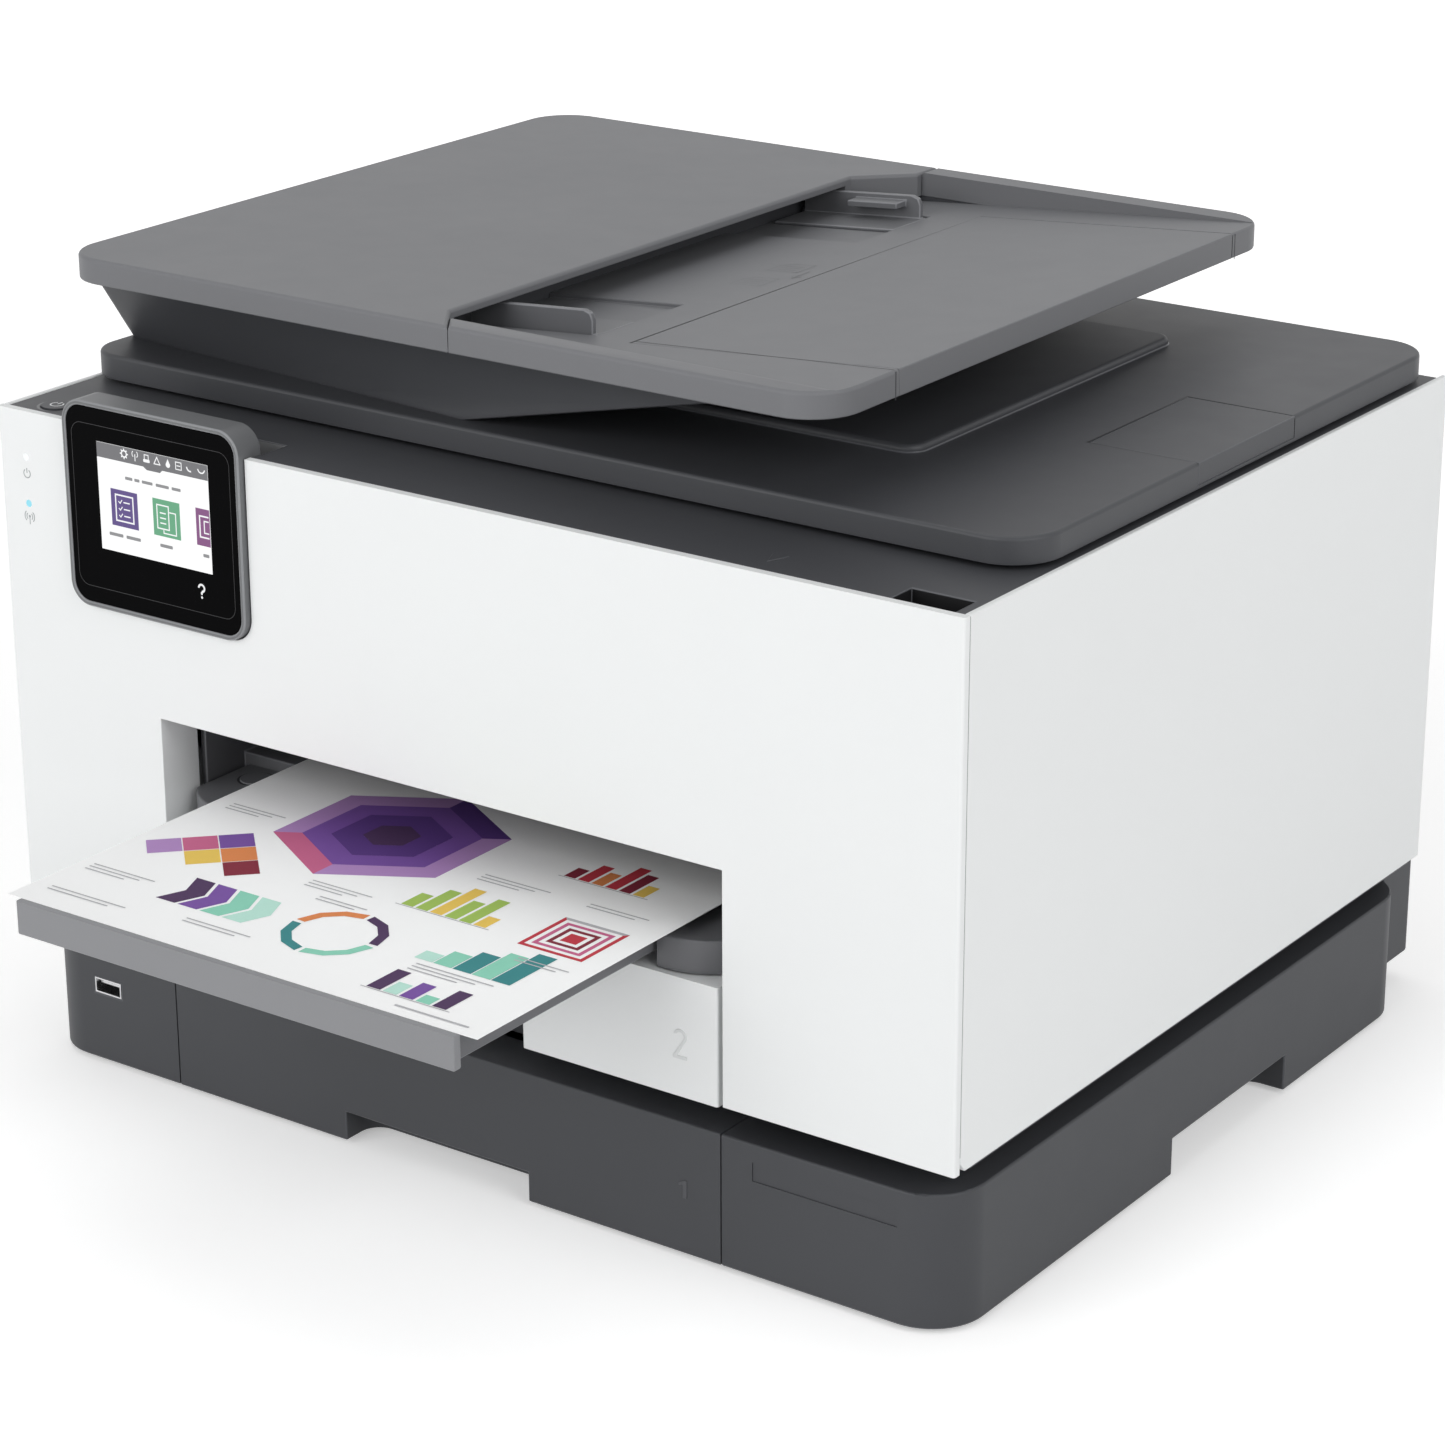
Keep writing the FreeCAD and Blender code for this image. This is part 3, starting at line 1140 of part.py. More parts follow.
def all_nodes():
    guide1 = FOOT_H + BASE_FLOOR + TRAY_WALL
    return {
        "base_tub": base_tub(),
        "foot_pads": foot_pads(),
        "usb_socket": usb_socket(),
        "chassis_floor": chassis_floor(),
        "inner_frame": inner_frame(),
        "left_side_panel": side_panel(-1),
        "right_side_panel": side_panel(1),
        "door_hinge_pins": door_hinge_pins(),
        "front_door": front_door(),
        "status_lights": status_lights(),
        "control_bezel": control_bezel(),
        "control_glass": control_glass(),
        "display": display(),
        "control_pins": control_pins(),
        "scanner_housing": scanner_housing(),
        "scanner_glass": scanner_glass(),
        "scan_rod": scan_rod(),
        "scan_bar": scan_bar(),
        "power_button": power_button(),
        "scanner_lid": scanner_lid(),
        "document_stop": document_stop(),
        "lid_pad": lid_pad(),
        "hinge_brackets": hinge_brackets(),
        "hinge_pins": hinge_pins(),
        "feeder_base": feeder_base(),
        "feeder_cover": feeder_cover(),
        "feeder_tray": feeder_tray(),
        "feeder_extension": feeder_extension(),
        "feeder_guide_front": feeder_guide(-1),
        "feeder_guide_rear": feeder_guide(1),
        "feeder_roller": feeder_roller(),
        "rear_housing": rear_housing(),
        "rear_access_cover": rear_access_cover(),
        "power_inlet": power_inlet(),
        "network_ports": network_ports(),
        "output_tray": output_tray(),
        "output_extension": output_extension(),
        "extension_bar": extension_bar(),
        "printed_sheet": printed_sheet(),
        "tray1_box": tray1_box(),
        "tray1_front": tray1_front(),
        "tray1_guide_left": tray_guide(-1, guide1, GUIDE_Y0),
        "tray1_guide_right": tray_guide(1, guide1, GUIDE_Y0),
        "tray2_box": tray2_box(),
        "tray2_front": tray2_front(),
        "platen": platen(),
        "feed_roller": paper_roller(DRIVE_Y, DRIVE_Z, DRIVE_R, DRIVE_SHAFT_R),
        "eject_roller": paper_roller(EJECT_Y, EJECT_Z, EJECT_R, EJECT_SHAFT_R),
        "carriage": carriage(),
        "print_head": print_head(),
        "cartridge_black": cartridge(0),
        "cartridge_cyan": cartridge(1),
        "cartridge_magenta": cartridge(2),
        "cartridge_yellow": cartridge(3),
        "carriage_rod": carriage_rod(),
        "carriage_belt": carriage_belt(),
        "drive_pulley": belt_pulley(1),
        "idler_pulley": belt_pulley(-1),
        "power_supply": power_supply(),
        "main_board": main_board(),
    }


os.makedirs("parts", exist_ok=True)
for name, shape in all_nodes().items():
    shape.translate(V(0, -MIDDLE_Y, 0))
    shape.exportStep("parts/" + name + ".step")
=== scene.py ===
import json
import math

import bmesh
import bpy
from mathutils import Matrix, Vector


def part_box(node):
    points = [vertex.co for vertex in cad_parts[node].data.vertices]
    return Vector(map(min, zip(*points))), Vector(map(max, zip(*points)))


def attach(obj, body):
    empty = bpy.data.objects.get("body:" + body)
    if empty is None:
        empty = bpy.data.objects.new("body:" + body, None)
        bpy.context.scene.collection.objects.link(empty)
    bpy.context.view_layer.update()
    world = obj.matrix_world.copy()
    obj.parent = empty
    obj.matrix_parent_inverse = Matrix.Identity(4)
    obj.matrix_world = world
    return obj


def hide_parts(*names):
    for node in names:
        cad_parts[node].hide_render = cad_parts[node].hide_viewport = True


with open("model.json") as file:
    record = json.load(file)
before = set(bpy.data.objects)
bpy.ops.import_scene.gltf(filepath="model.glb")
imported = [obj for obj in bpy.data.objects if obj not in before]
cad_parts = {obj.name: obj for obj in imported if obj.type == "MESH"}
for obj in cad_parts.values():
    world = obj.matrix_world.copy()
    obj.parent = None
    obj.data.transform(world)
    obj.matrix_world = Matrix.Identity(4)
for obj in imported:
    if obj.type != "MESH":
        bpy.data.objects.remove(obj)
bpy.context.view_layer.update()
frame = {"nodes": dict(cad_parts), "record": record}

# Sizes are millimetres: x from the middle of the machine, y back from its white front face, z up from the
# floor.
MM = 0.001
FRONT_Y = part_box("front_door")[0].y

# Camera of the photograph
CAMERA_SPOT = (874.99, -1058.58, 699.19)
CAMERA_YAW = 35.43
CAMERA_PITCH = 20.53
CAMERA_ROLL = -0.185
CAMERA_LENS = 101.02

# Directions along and up a flat mark that faces the front, the back or upwards
FRONT = ((1, 0, 0), (0, 0, 1))
BACK = ((-1, 0, 0), (0, 0, 1))
TOP = ((1, 0, 0), (0, 1, 0))

# Places of the small features
SCREEN_MID = (-136.5, 243.9)
SCREEN_SIZE = (55.8, 42.2)
GLASS_Y = -2.7
HELP_MID = (-114.4, 215.0)
GROOVE_MID = (-137.5, 238.9)
RECESS_Y = 23.0
RECESS_X = (-182.6, -92.4)
RECESS_Z = (255.6, 268.8)
NOTCH_X = (187.0, 212.0)
NOTCH_Y = (4.0, 17.0)
NOTCH_Z = (262.2, 269.2)
DOOR_GAP_X = 218.3
DOOR_GAP_Y = (3.51, 3.79)
DOOR_GAP_Z = (73.0, 269.0)
LIGHT_X = -204.7
LIGHT_R = 1.45
POWER_LIGHT_Z = 251.1
POWER_MARK_Z = 244.6
WIRELESS_LIGHT_Z = 232.6
WIRELESS_MARK_Z = 227.4
BUTTON_MID = (-199.6, 13.2)
BUTTON_TOP = 269.8
STRIP_TOP = 269.2
ARROW_AT = (132.0, 12.0)
TRAY1_NUMBER_AT = (103.2, 2.0, 24.5)
TRAY2_NUMBER_AT = (102.5, 0.6, 80.4)
NUMBER_RISE = 0.35
NUMBER_EDGE = 0.2
SHOULDER_DISC_AT = (-125.5, 34.5, 125.5)
SHOULDER_DISC_R = 6.4
FEEDER_END = (139.5, 322.0)
FEEDER_MOUTH = (-38.0, 308.6)
FEEDER_MARKS_AT = (8.0, 200.5)
FEEDER_SEAM_Y = (79.2, 322.0)
FEEDER_SEAM_Z = (311.6, 321.2)
LOUVRE_X = 162.0
LOUVRE_HALF = 24.0
LOUVRE_Z = 120.0
LOUVRE_T = 3.0
LOUVRE_PITCH = 7.0
LOUVRE_COUNT = 9
SCREW_X = 190.0
SCREW_Z = (30.0, 236.0)
SCREW_R = 4.0
SHEET_MID_X = -7.2
SHEET_FRONT_Y = -111.0
SHEET_TOP = 130.2
LIFT = 0.02
BACKGROUND_RAYS = ("Is Camera Ray", "Is Glossy Ray", "Is Transmission Ray")
WORLD_LEVEL = 0.34
FLOOR_REACH = 30.0
SHARP_TURN = math.radians(32)


def spot(x, y, z):
    return Vector((x * MM, y * MM + FRONT_Y, z * MM))


class Tone:
    """One socket of a finish. Arithmetic on it adds Math nodes."""

    def __init__(self, finish, socket):
        self.finish = finish
        self.socket = socket

    def math(self, operation, first, second):
        return self.finish.add("ShaderNodeMath", {"operation": operation}, {0: first, 1: second})

    def __add__(self, other):
        return self.math("ADD", self, other)

    def __radd__(self, other):
        return self.math("ADD", other, self)

    def __sub__(self, other):
        return self.math("SUBTRACT", self, other)

    def __mul__(self, other):
        return self.math("MULTIPLY", self, other)


class Finish:
    """A procedural material around one Principled shader."""

    def __init__(self, name):
        self.material = bpy.data.materials.new(name)
        self.material.use_nodes = True
        self.nodes = self.material.node_tree.nodes
        self.links = self.material.node_tree.links
        self.shader = self.nodes["Principled BSDF"]

    def add(self, kind, settings, inputs, output=0):
        node = self.nodes.new(kind)
        for name, value in settings.items():
            setattr(node, name, value)
        for key, value in inputs.items():
            self.feed(node.inputs[key], value)
        return Tone(self, node.outputs[output])

    def feed(self, socket, value):
        if isinstance(value, Tone):
            self.links.new(value.socket, socket)
        else:
            socket.default_value = value

    def wear(self, **values):
        for name, value in values.items():
            self.feed(self.shader.inputs[name.replace("_", " ")], value)

    def place(self, stretch=(1, 1, 1)):
        here = self.add("ShaderNodeTexCoord", {}, {}, "Object")
        return self.add("ShaderNodeVectorMath", {"operation": "MULTIPLY"}, {0: here, 1: stretch})

    def noise(self, size, detail=2.0, stretch=(1, 1, 1)):
        inputs = {"Vector": self.place(stretch), "Scale": 1 / (size * MM), "Detail": detail}
        return self.add("ShaderNodeTexNoise", {}, inputs, "Fac")

    def blend(self, share, first, second):
        settings = {"data_type": "RGBA", "clamp_factor": True}
        return self.add("ShaderNodeMix", settings, {0: share, 6: first, 7: second}, 2)

    def bump(self, height, depth, strength):
        inputs = {"Strength": strength, "Distance": depth * MM, "Height": height}
        return self.add("ShaderNodeBump", {}, inputs)


def shade(colour, factor):
    return tuple(min(1.0, c * factor) for c in colour) + (1.0,)


# Paler, smoother finishes for rounded edges: edge wear together with a painted highlight along the edges.
EDGE_WEAR_AND_HIGHLIGHT_OF = {}


def plastic(name, colour, rough, grain, depth, vary, strength):
    finish = Finish(name)
    fine = finish.noise(grain, 2.0)
    cloud = finish.noise(70.0, 3.0)
    rub = finish.noise(14.0, 4.0)
    share = cloud * 0.7 + fine * 0.3
    tone = finish.blend(share, shade(colour, 1 - vary), shade(colour, 1 + vary))
    finish.wear(Base_Color=tone, Roughness=rough + (cloud - 0.5) * 0.08 + (rub - 0.5) * 0.06,
                Normal=finish.bump(fine, depth, strength), Specular_IOR_Level=0.3)
    return finish.material


def moulded(name, colour, rough, grain, depth, vary=0.06, strength=0.25, edge_wear_and_highlight=1.0):
    """Grained plastic. Where the last factor is over 1, the rounded edges get their own finish that much
    paler and smoother: edge wear together with a painted highlight along them.
    """
    if edge_wear_and_highlight > 1.0:
        pale = shade(colour, edge_wear_and_highlight)[:3]
        EDGE_WEAR_AND_HIGHLIGHT_OF[name] = plastic(name + "_edge", pale, rough - 0.12, grain, depth / 2, vary * 2, strength / 2)
    return plastic(name, colour, rough, grain, depth, vary, strength)


def polished(name, colour, rough, shine):
    finish = Finish(name)
    haze = finish.noise(9.0, 4.0)
    wipe = finish.noise(30.0, 2.0, (1, 1, 0.25))
    tone = finish.blend(wipe, shade(colour, 0.8), shade(colour, 1.25))
    finish.wear(Base_Color=tone, Roughness=rough + haze * 0.05 + (wipe - 0.5) * 0.03)
    finish.wear(Specular_IOR_Level=shine)
    return finish.material


def metal(name, colour, rough, stretch):
    finish = Finish(name)
    brush = finish.noise(0.6, 3.0, stretch)
    cloud = finish.noise(25.0, 3.0)
    tone = finish.blend(cloud * 0.5 + brush * 0.5, shade(colour, 0.86), shade(colour, 1.08))
    finish.wear(Base_Color=tone, Metallic=1.0, Roughness=rough + (brush - 0.5) * 0.18,
                Normal=finish.bump(brush, 0.02, 0.2))
    return finish.material


def clear_glass():
    finish = Finish("scanner_bed_glass")
    haze = finish.noise(40.0, 3.0)
    tone = finish.blend(haze, (0.93, 0.97, 0.96, 1), (0.97, 0.99, 0.98, 1))
    finish.wear(Base_Color=tone, Roughness=0.03 + haze * 0.05, Transmission_Weight=0.9, IOR=1.5)
    return finish.material


def rubber(name, colour):
    finish = Finish(name)
    grit = finish.noise(0.8, 3.0)
    dust = finish.noise(12.0, 4.0)
    tone = finish.blend(dust, shade(colour, 0.8), shade(colour, 1.5))
    finish.wear(Base_Color=tone, Roughness=0.72 + dust * 0.18, Normal=finish.bump(grit, 0.08, 0.5))
    return finish.material


def foam():
    finish = Finish("lid_pad_foam")
    cells = finish.add("ShaderNodeTexVoronoi", {}, {"Vector": finish.place(), "Scale": 900.0}, "Distance")
    cloud = finish.noise(50.0, 3.0)
    tone = finish.blend(cloud, (0.80, 0.80, 0.78, 1), (0.87, 0.87, 0.86, 1))
    finish.wear(Base_Color=tone, Roughness=0.85 + cells * 0.1, Normal=finish.bump(cells, 0.2, 0.4))
    return finish.material


def paper():
    finish = Finish("office_paper")
    fibre = finish.noise(0.9, 4.0, (1, 0.35, 1))
    cloud = finish.noise(24.0, 3.0)
    tone = finish.blend(fibre * 0.5 + cloud * 0.5, (0.945, 0.95, 0.95, 1), (0.975, 0.98, 0.98, 1))
    finish.wear(Base_Color=tone, Roughness=0.78 + fibre * 0.15, Normal=finish.bump(fibre, 0.03, 0.25))
    return finish.material


def ink(name, colour):
    finish = Finish("ink_" + name)
    fibre = finish.noise(0.7, 3.0)
    lay = finish.noise(6.0, 2.0, (1, 0.1, 1))
    tone = finish.blend(fibre * 0.6 + lay * 0.4, shade(colour, 0.92), shade(colour, 1.1))
    finish.wear(Base_Color=tone, Roughness=0.7 + fibre * 0.2)
    return finish.material


def lit(name, colour, strength=1.0):
    finish = Finish("lit_" + name)
    dots = finish.noise(0.25, 1.0)
    glow = finish.noise(30.0, 2.0)
    tone = finish.blend(dots * 0.5 + glow * 0.5, shade(colour, 0.94), shade(colour, 1.03))
    finish.wear(Base_Color=(0.01, 0.01, 0.01, 1), Emission_Color=tone, Emission_Strength=strength,
                Roughness=0.12 + glow * 0.08)
    return finish.material


def circuit_board():
    finish = Finish("green_circuit_board")
    lanes = finish.add("ShaderNodeTexBrick", {}, {"Vector": finish.place(), "Scale": 160.0}, "Fac")
    cloud = finish.noise(8.0, 3.0)
    tone = finish.blend(lanes * 0.6 + cloud * 0.4, (0.01, 0.10, 0.04, 1), (0.04, 0.20, 0.08, 1))
    finish.wear(Base_Color=tone, Roughness=0.35 + cloud * 0.2, Normal=finish.bump(lanes, 0.05, 0.3))
    return finish.material


# A factor over 1 after the bump strength makes the rounded edges that much paler and smoother: edge wear and
# a painted highlight.
WHITE = moulded("white_shell_plastic", (0.835, 0.850, 0.852), 0.42, 0.55, 0.02, 0.015, 0.18)
CHARCOAL = moulded("charcoal_grained_plastic", (0.054, 0.056, 0.062), 0.50, 0.5, 0.05, 0.10, 0.35, 1.5)
LID_CHARCOAL = moulded("charcoal_lid_plastic", (0.056, 0.058, 0.064), 0.46, 0.45, 0.04, 0.08, 0.30, 1.8)
DARK_GREY = moulded("dark_grey_output_plastic", (0.142, 0.144, 0.153), 0.46, 0.5, 0.04, 0.08, 0.30, 1.4)
FEEDER_GREY = moulded("feeder_grey_plastic", (0.163, 0.166, 0.176), 0.48, 0.45, 0.04, 0.05, 0.30, 1.8)
GUIDE_GREY = moulded("paper_guide_grey_plastic", (0.155, 0.158, 0.168), 0.42, 0.5, 0.03, 0.05, 0.25, 1.5)
BAR_GREY = moulded("end_bar_grey_plastic", (0.245, 0.248, 0.260), 0.44, 0.5, 0.03, 0.05, 0.25, 1.3)
BEZEL_GREY = moulded("panel_rim_grey_plastic", (0.150, 0.154, 0.160), 0.38, 0.5, 0.02, 0.06, 0.20, 1.7)
# Painted light: a pale grey standing in for the light on the back wall of the panel recess, in the dark
# strip.
RECESS_PAINTED_LIGHT_GREY = moulded("panel_recess_painted_light_grey", (0.40, 0.404, 0.415), 0.45, 0.5, 0.03, 0.05, 0.25)
# The tray numbers are toned paler than the charcoal and darker than the white around them: painted light and
# shade for their raised relief.
DARK_NUMBER = moulded("tray_number_charcoal", (0.074, 0.076, 0.083), 0.45, 0.5, 0.04, 0.08, 0.30)
PALE_NUMBER = moulded("tray_number_white", (0.70, 0.715, 0.717), 0.42, 0.55, 0.02, 0.02, 0.18)
INNER = moulded("inner_black_plastic", (0.030, 0.031, 0.034), 0.55, 0.8, 0.06, 0.12, 0.40)
GLOSS = polished("black_panel_glass", (0.0015, 0.0015, 0.0018), 0.05, 0.02)
SOCKET_BLACK = moulded("socket_black_plastic", (0.012, 0.012, 0.013), 0.40, 0.6, 0.04, 0.15, 0.30)
STEEL = metal("bright_steel", (0.62, 0.62, 0.63), 0.24, (0.05, 1, 1))
SHEET_METAL = metal("zinc_sheet_metal", (0.48, 0.49, 0.50), 0.42, (1, 0.1, 1))
GLASS = clear_glass()
RUBBER = rubber("black_rubber", (0.014, 0.014, 0.015))
FOAM = foam()
PAPER = paper()
BOARD = circuit_board()
SCREEN = lit("screen_white", (0.97, 0.975, 0.98))
LENS = lit("light_white", (0.90, 0.93, 0.95), 0.9)
INK_TANKS = {
    "cartridge_black": moulded("tank_black", (0.015, 0.015, 0.016), 0.35, 0.6, 0.03, 0.1),
    "cartridge_cyan": moulded("tank_cyan", (0.02, 0.32, 0.55), 0.35, 0.6, 0.03, 0.1),
    "cartridge_magenta": moulded("tank_magenta", (0.50, 0.02, 0.20), 0.35, 0.6, 0.03, 0.1),
    "cartridge_yellow": moulded("tank_yellow", (0.75, 0.52, 0.02), 0.35, 0.6, 0.03, 0.1),
}

# Each solid of the frame with its finish and the radius of its rounded edges
DRESS = {
    "base_tub": (CHARCOAL, 0.7),
    "foot_pads": (RUBBER, 0.4),
    "usb_socket": (STEEL, 0.1),
    "chassis_floor": (CHARCOAL, 0.4),
    "inner_frame": (SHEET_METAL, 0.3),
    "left_side_panel": (WHITE, 0.5),
    "right_side_panel": (WHITE, 0.5),
    "door_hinge_pins": (STEEL, 0.2),
    "front_door": (WHITE, 0.25),
    "control_bezel": (BEZEL_GREY, 0.6),
    "control_glass": (GLOSS, 0.25),
    "control_pins": (STEEL, 0.2),
    "scanner_housing": (LID_CHARCOAL, 0.35),
    "scanner_glass": (GLASS, 0.2),
    "scan_rod": (STEEL, 0.2),
    "scan_bar": (INNER, 0.5),
    "power_button": (LID_CHARCOAL, 0.4),
    "scanner_lid": (LID_CHARCOAL, 0.45),
    "document_stop": (LID_CHARCOAL, 0.3),
    "lid_pad": (FOAM, 0.4),
    "hinge_brackets": (INNER, 0.5),
    "hinge_pins": (STEEL, 0.2),
    "feeder_base": (LID_CHARCOAL, 0.6),
    "feeder_cover": (FEEDER_GREY, 0.45),
    "feeder_tray": (FEEDER_GREY, 0.45),
    "feeder_extension": (FEEDER_GREY, 0.4),
    "feeder_guide_front": (GUIDE_GREY, 0.45),
    "feeder_guide_rear": (GUIDE_GREY, 0.45),
    "feeder_roller": (RUBBER, 0.4),
    "rear_housing": (CHARCOAL, 0.6),
    "rear_access_cover": (CHARCOAL, 0.4),
    "power_inlet": (SOCKET_BLACK, 0.3),
    "network_ports": (SOCKET_BLACK, 0.3),
    "output_tray": (DARK_GREY, 0.5),
    "output_extension": (DARK_GREY, 0.5),
    "extension_bar": (BAR_GREY, 0.35),
    "tray1_box": (INNER, 0.4),
    "tray1_front": (CHARCOAL, 0.5),
    "tray1_guide_left": (GUIDE_GREY, 0.3),
    "tray1_guide_right": (GUIDE_GREY, 0.3),
    "tray2_box": (INNER, 0.4),
    "tray2_front": (WHITE, 0.6),
    "platen": (INNER, 0.3),
    "feed_roller": (RUBBER, 0.4),
    "eject_roller": (RUBBER, 0.3),
    "carriage": (INNER, 0.5),
    "print_head": (SHEET_METAL, 0.4),
    "carriage_rod": (STEEL, 0.2),
    "carriage_belt": (RUBBER, 0.1),
    "drive_pulley": (STEEL, 0.2),
    "idler_pulley": (STEEL, 0.2),
    "power_supply": (SHEET_METAL, 0.6),
    "main_board": (BOARD, 0.2),
}
BODY_OF = {node: body for body, nodes in frame["record"]["behaviour"]["bodies"].items() for node in nodes}


def make_piece(name, points, faces, finish, body):
    mesh = bpy.data.meshes.new(name)
    mesh.from_pydata(points, [], faces)
    mesh.validate()
    mesh.materials.append(finish)
    piece = bpy.data.objects.new(name, mesh)
    bpy.context.collection.objects.link(piece)
    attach(piece, body)
    return piece


def clean_form(node):
    """The node's own faces joined into plain flats, as points and faces."""
    form = bmesh.new()
    form.from_mesh(frame["nodes"][node].data)
    bmesh.ops.remove_doubles(form, verts=form.verts, dist=2e-6)
    bmesh.ops.dissolve_limit(form, angle_limit=math.radians(0.4), verts=form.verts, edges=form.edges)
    form.verts.index_update()
    points = [v.co.copy() for v in form.verts]
    faces = [[v.index for v in f.verts] for f in form.faces]
    form.free()
    return points, faces


def mark_edges(piece, radius):
    """Marks the sharp edges that have room for a rounding of that radius at both ends."""
    form = bmesh.new()
    form.from_mesh(piece.data)
    weight = form.edges.layers.float.new("bevel_weight_edge")
    for edge in form.edges:
        turn = edge.calc_face_angle(0.0)
        room = min(near.calc_length() for end in edge.verts for near in end.link_edges)
        edge[weight] = 1.0 if turn > SHARP_TURN and room > radius * MM * 1.3 else 0.0
        edge.smooth = turn < SHARP_TURN
    form.to_mesh(piece.data)
    form.free()


def soften(piece, radius, steps=2):
    for face in piece.data.polygons:
        face.use_smooth = True
    mark_edges(piece, radius)
    edge = piece.modifiers.new("rounded_edges", "BEVEL")
    edge.width = radius * MM
    edge.segments = steps
    edge.limit_method = "WEIGHT"
    edge.use_clamp_overlap = False
    # The bevel faces take the paler edge finish where the plastic has one: edge wear together with a painted
    # highlight.
    wear_and_highlight_edge = EDGE_WEAR_AND_HIGHLIGHT_OF.get(piece.data.materials[0].name)
    if wear_and_highlight_edge:
        piece.data.materials.append(wear_and_highlight_edge)
        edge.material = 1
    even = piece.modifiers.new("even_shading", "WEIGHTED_NORMAL")
    even.keep_sharp = True
    even.weight = 90


def dress_nodes():
    tanks = {node: (finish, 0.6) for node, finish in INK_TANKS.items()}
    for node, (finish, radius) in {**DRESS, **tanks}.items():
        points, faces = clean_form(node)
        piece = make_piece(node + "_shell", points, faces, finish, BODY_OF[node])
        soften(piece, radius)
        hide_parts(node)
    for node, finish in (("display", SCREEN), ("status_lights", LENS), ("printed_sheet", PAPER)):
        frame["nodes"][node].data.materials.clear()
        frame["nodes"][node].data.materials.append(finish)


class Drawing:
    """Flat marks on one plane, collected into one piece for each finish."""

    def __init__(self, name, body, origin, across, up, step=0.004):
        self.name = name
        self.body = body
        self.origin = origin
        self.across = Vector(across)
        self.up = Vector(up)
        self.out = self.across.cross(self.up)
        self.step = step
        self.level = LIFT
        self.marks = {}

    def point(self, u, v):
        return self.origin + (self.across * u + self.up * v + self.out * self.level) * MM

    def patch(self, finish, loops):
        points, faces = self.marks.setdefault(finish.name, ([], []))
        for loop in loops:
            faces.append(list(range(len(points), len(points) + len(loop))))
            points.extend(self.point(u, v) for u, v in loop)
        self.level += self.step

    def disc(self, finish, u, v, r, count=32):
        self.sector(finish, u, v, 0, r, 0, 360, count)

    def sector(self, finish, u, v, r0, r1, start, end, count=32):
        turns = [math.radians(start + (end - start) * i / count) for i in range(count + 1)]
        loops = []
        for a, b in zip(turns, turns[1:]):
            near = [(u + r0 * math.cos(t), v + r0 * math.sin(t)) for t in (b, a)]
            far = [(u + r1 * math.cos(t), v + r1 * math.sin(t)) for t in (a, b)]
            loops.append(far + (near if r0 > 0 else [(u, v)]))
        self.patch(finish, loops)

    def bar(self, finish, u0, u1, v0, v1, r=0.0):
        if r <= 0:
            self.patch(finish, [[(u0, v0), (u1, v0), (u1, v1), (u0, v1)]])
            return
        loop = []
        corners = ((u1 - r, v0 + r, 270), (u1 - r, v1 - r, 0),
                   (u0 + r, v1 - r, 90), (u0 + r, v0 + r, 180))
        for u, v, start in corners:
            for i in range(7):
                turn = math.radians(start + 15 * i)
                loop.append((u + r * math.cos(turn), v + r * math.sin(turn)))
        self.patch(finish, [loop])

    def line(self, finish, spots, width, closed=False):
        loops = []
        goals = spots[1:] + (spots[:1] if closed else [])
        for (u0, v0), (u1, v1) in zip(spots, goals):
            length = math.hypot(u1 - u0, v1 - v0)
            a = (u1 - u0) / length * width / 2
            b = (v1 - v0) / length * width / 2
            loops.append([(u0 - a + b, v0 - b - a), (u1 + a + b, v1 + b - a),
                          (u1 + a - b, v1 + b + a), (u0 - a - b, v0 - b + a)])
        self.patch(finish, loops)

    def arc(self, finish, u, v, r, width, start, end):
        self.sector(finish, u, v, r - width / 2, r + width / 2, start, end, 24)

    def shape(self, finish, u, v, r, count, start=90.0, r0=0.0):
        """A polygon, or a band of one where an inner size is given."""
        self.sector(finish, u, v, r0, r, start, start + 360, count)

    def place(self):
        for number, (finish, (points, faces)) in enumerate(self.marks.items()):
            name = f"{self.name}_{number + 1}"
            make_piece(name, points, faces, bpy.data.materials[finish], self.body)


def status_symbols(page, mark, v):
    """Eight small symbols: cog, signal, page feed, warning, drop, drawer, telephone and a bowl."""
    cog, signal, feed, warning = (-13.9, -8.3, -2.5, 2.8)
    drop, drawer, phone, bowl = (8.3, 13.6, 19.4, 24.9)
    page.arc(mark, cog, v, 1.25, 0.55, 0, 360)
    for turn in range(0, 360, 45):
        a = math.radians(turn)
        page.line(mark, [(cog + 1.5 * math.cos(a), v + 1.5 * math.sin(a)),
                         (cog + 1.8 * math.cos(a), v + 1.8 * math.sin(a))], 0.5)
    page.line(mark, [(signal, v - 1.7), (signal, v + 0.6)], 0.4)
    page.arc(mark, signal, v + 0.8, 1.4, 0.35, -50, 50)
    page.arc(mark, signal, v + 0.8, 1.4, 0.35, 130, 230)
    page.bar(mark, feed - 1.6, feed + 1.6, v - 1.4, v - 0.2, 0.3)
    sheet = [(feed - 1.0, v - 0.1), (feed - 1.0, v + 1.5), (feed + 1.0, v + 1.5), (feed + 1.0, v - 0.1)]
    page.line(mark, sheet, 0.35)
    page.line(mark, [(warning - 1.5, v - 1.2), (warning, v + 1.5), (warning + 1.5, v - 1.2)], 0.4, True)
    page.disc(mark, drop, v - 0.5, 1.1, 16)
    page.patch(mark, [[(drop - 0.95, v - 0.1), (drop + 0.95, v - 0.1), (drop, v + 1.8)]])
    box = [(drawer + a, v + b) for a, b in ((-1.4, -1.4), (1.4, -1.4), (1.4, 1.4), (-1.4, 1.4))]
    page.line(mark, box, 0.35, True)
    page.line(mark, [(drawer - 0.8, v), (drawer + 0.8, v)], 0.35)
    page.arc(mark, phone, v + 0.6, 1.7, 0.6, 185, 285)
    page.arc(mark, bowl, v + 0.9, 1.7, 0.5, 190, 350)


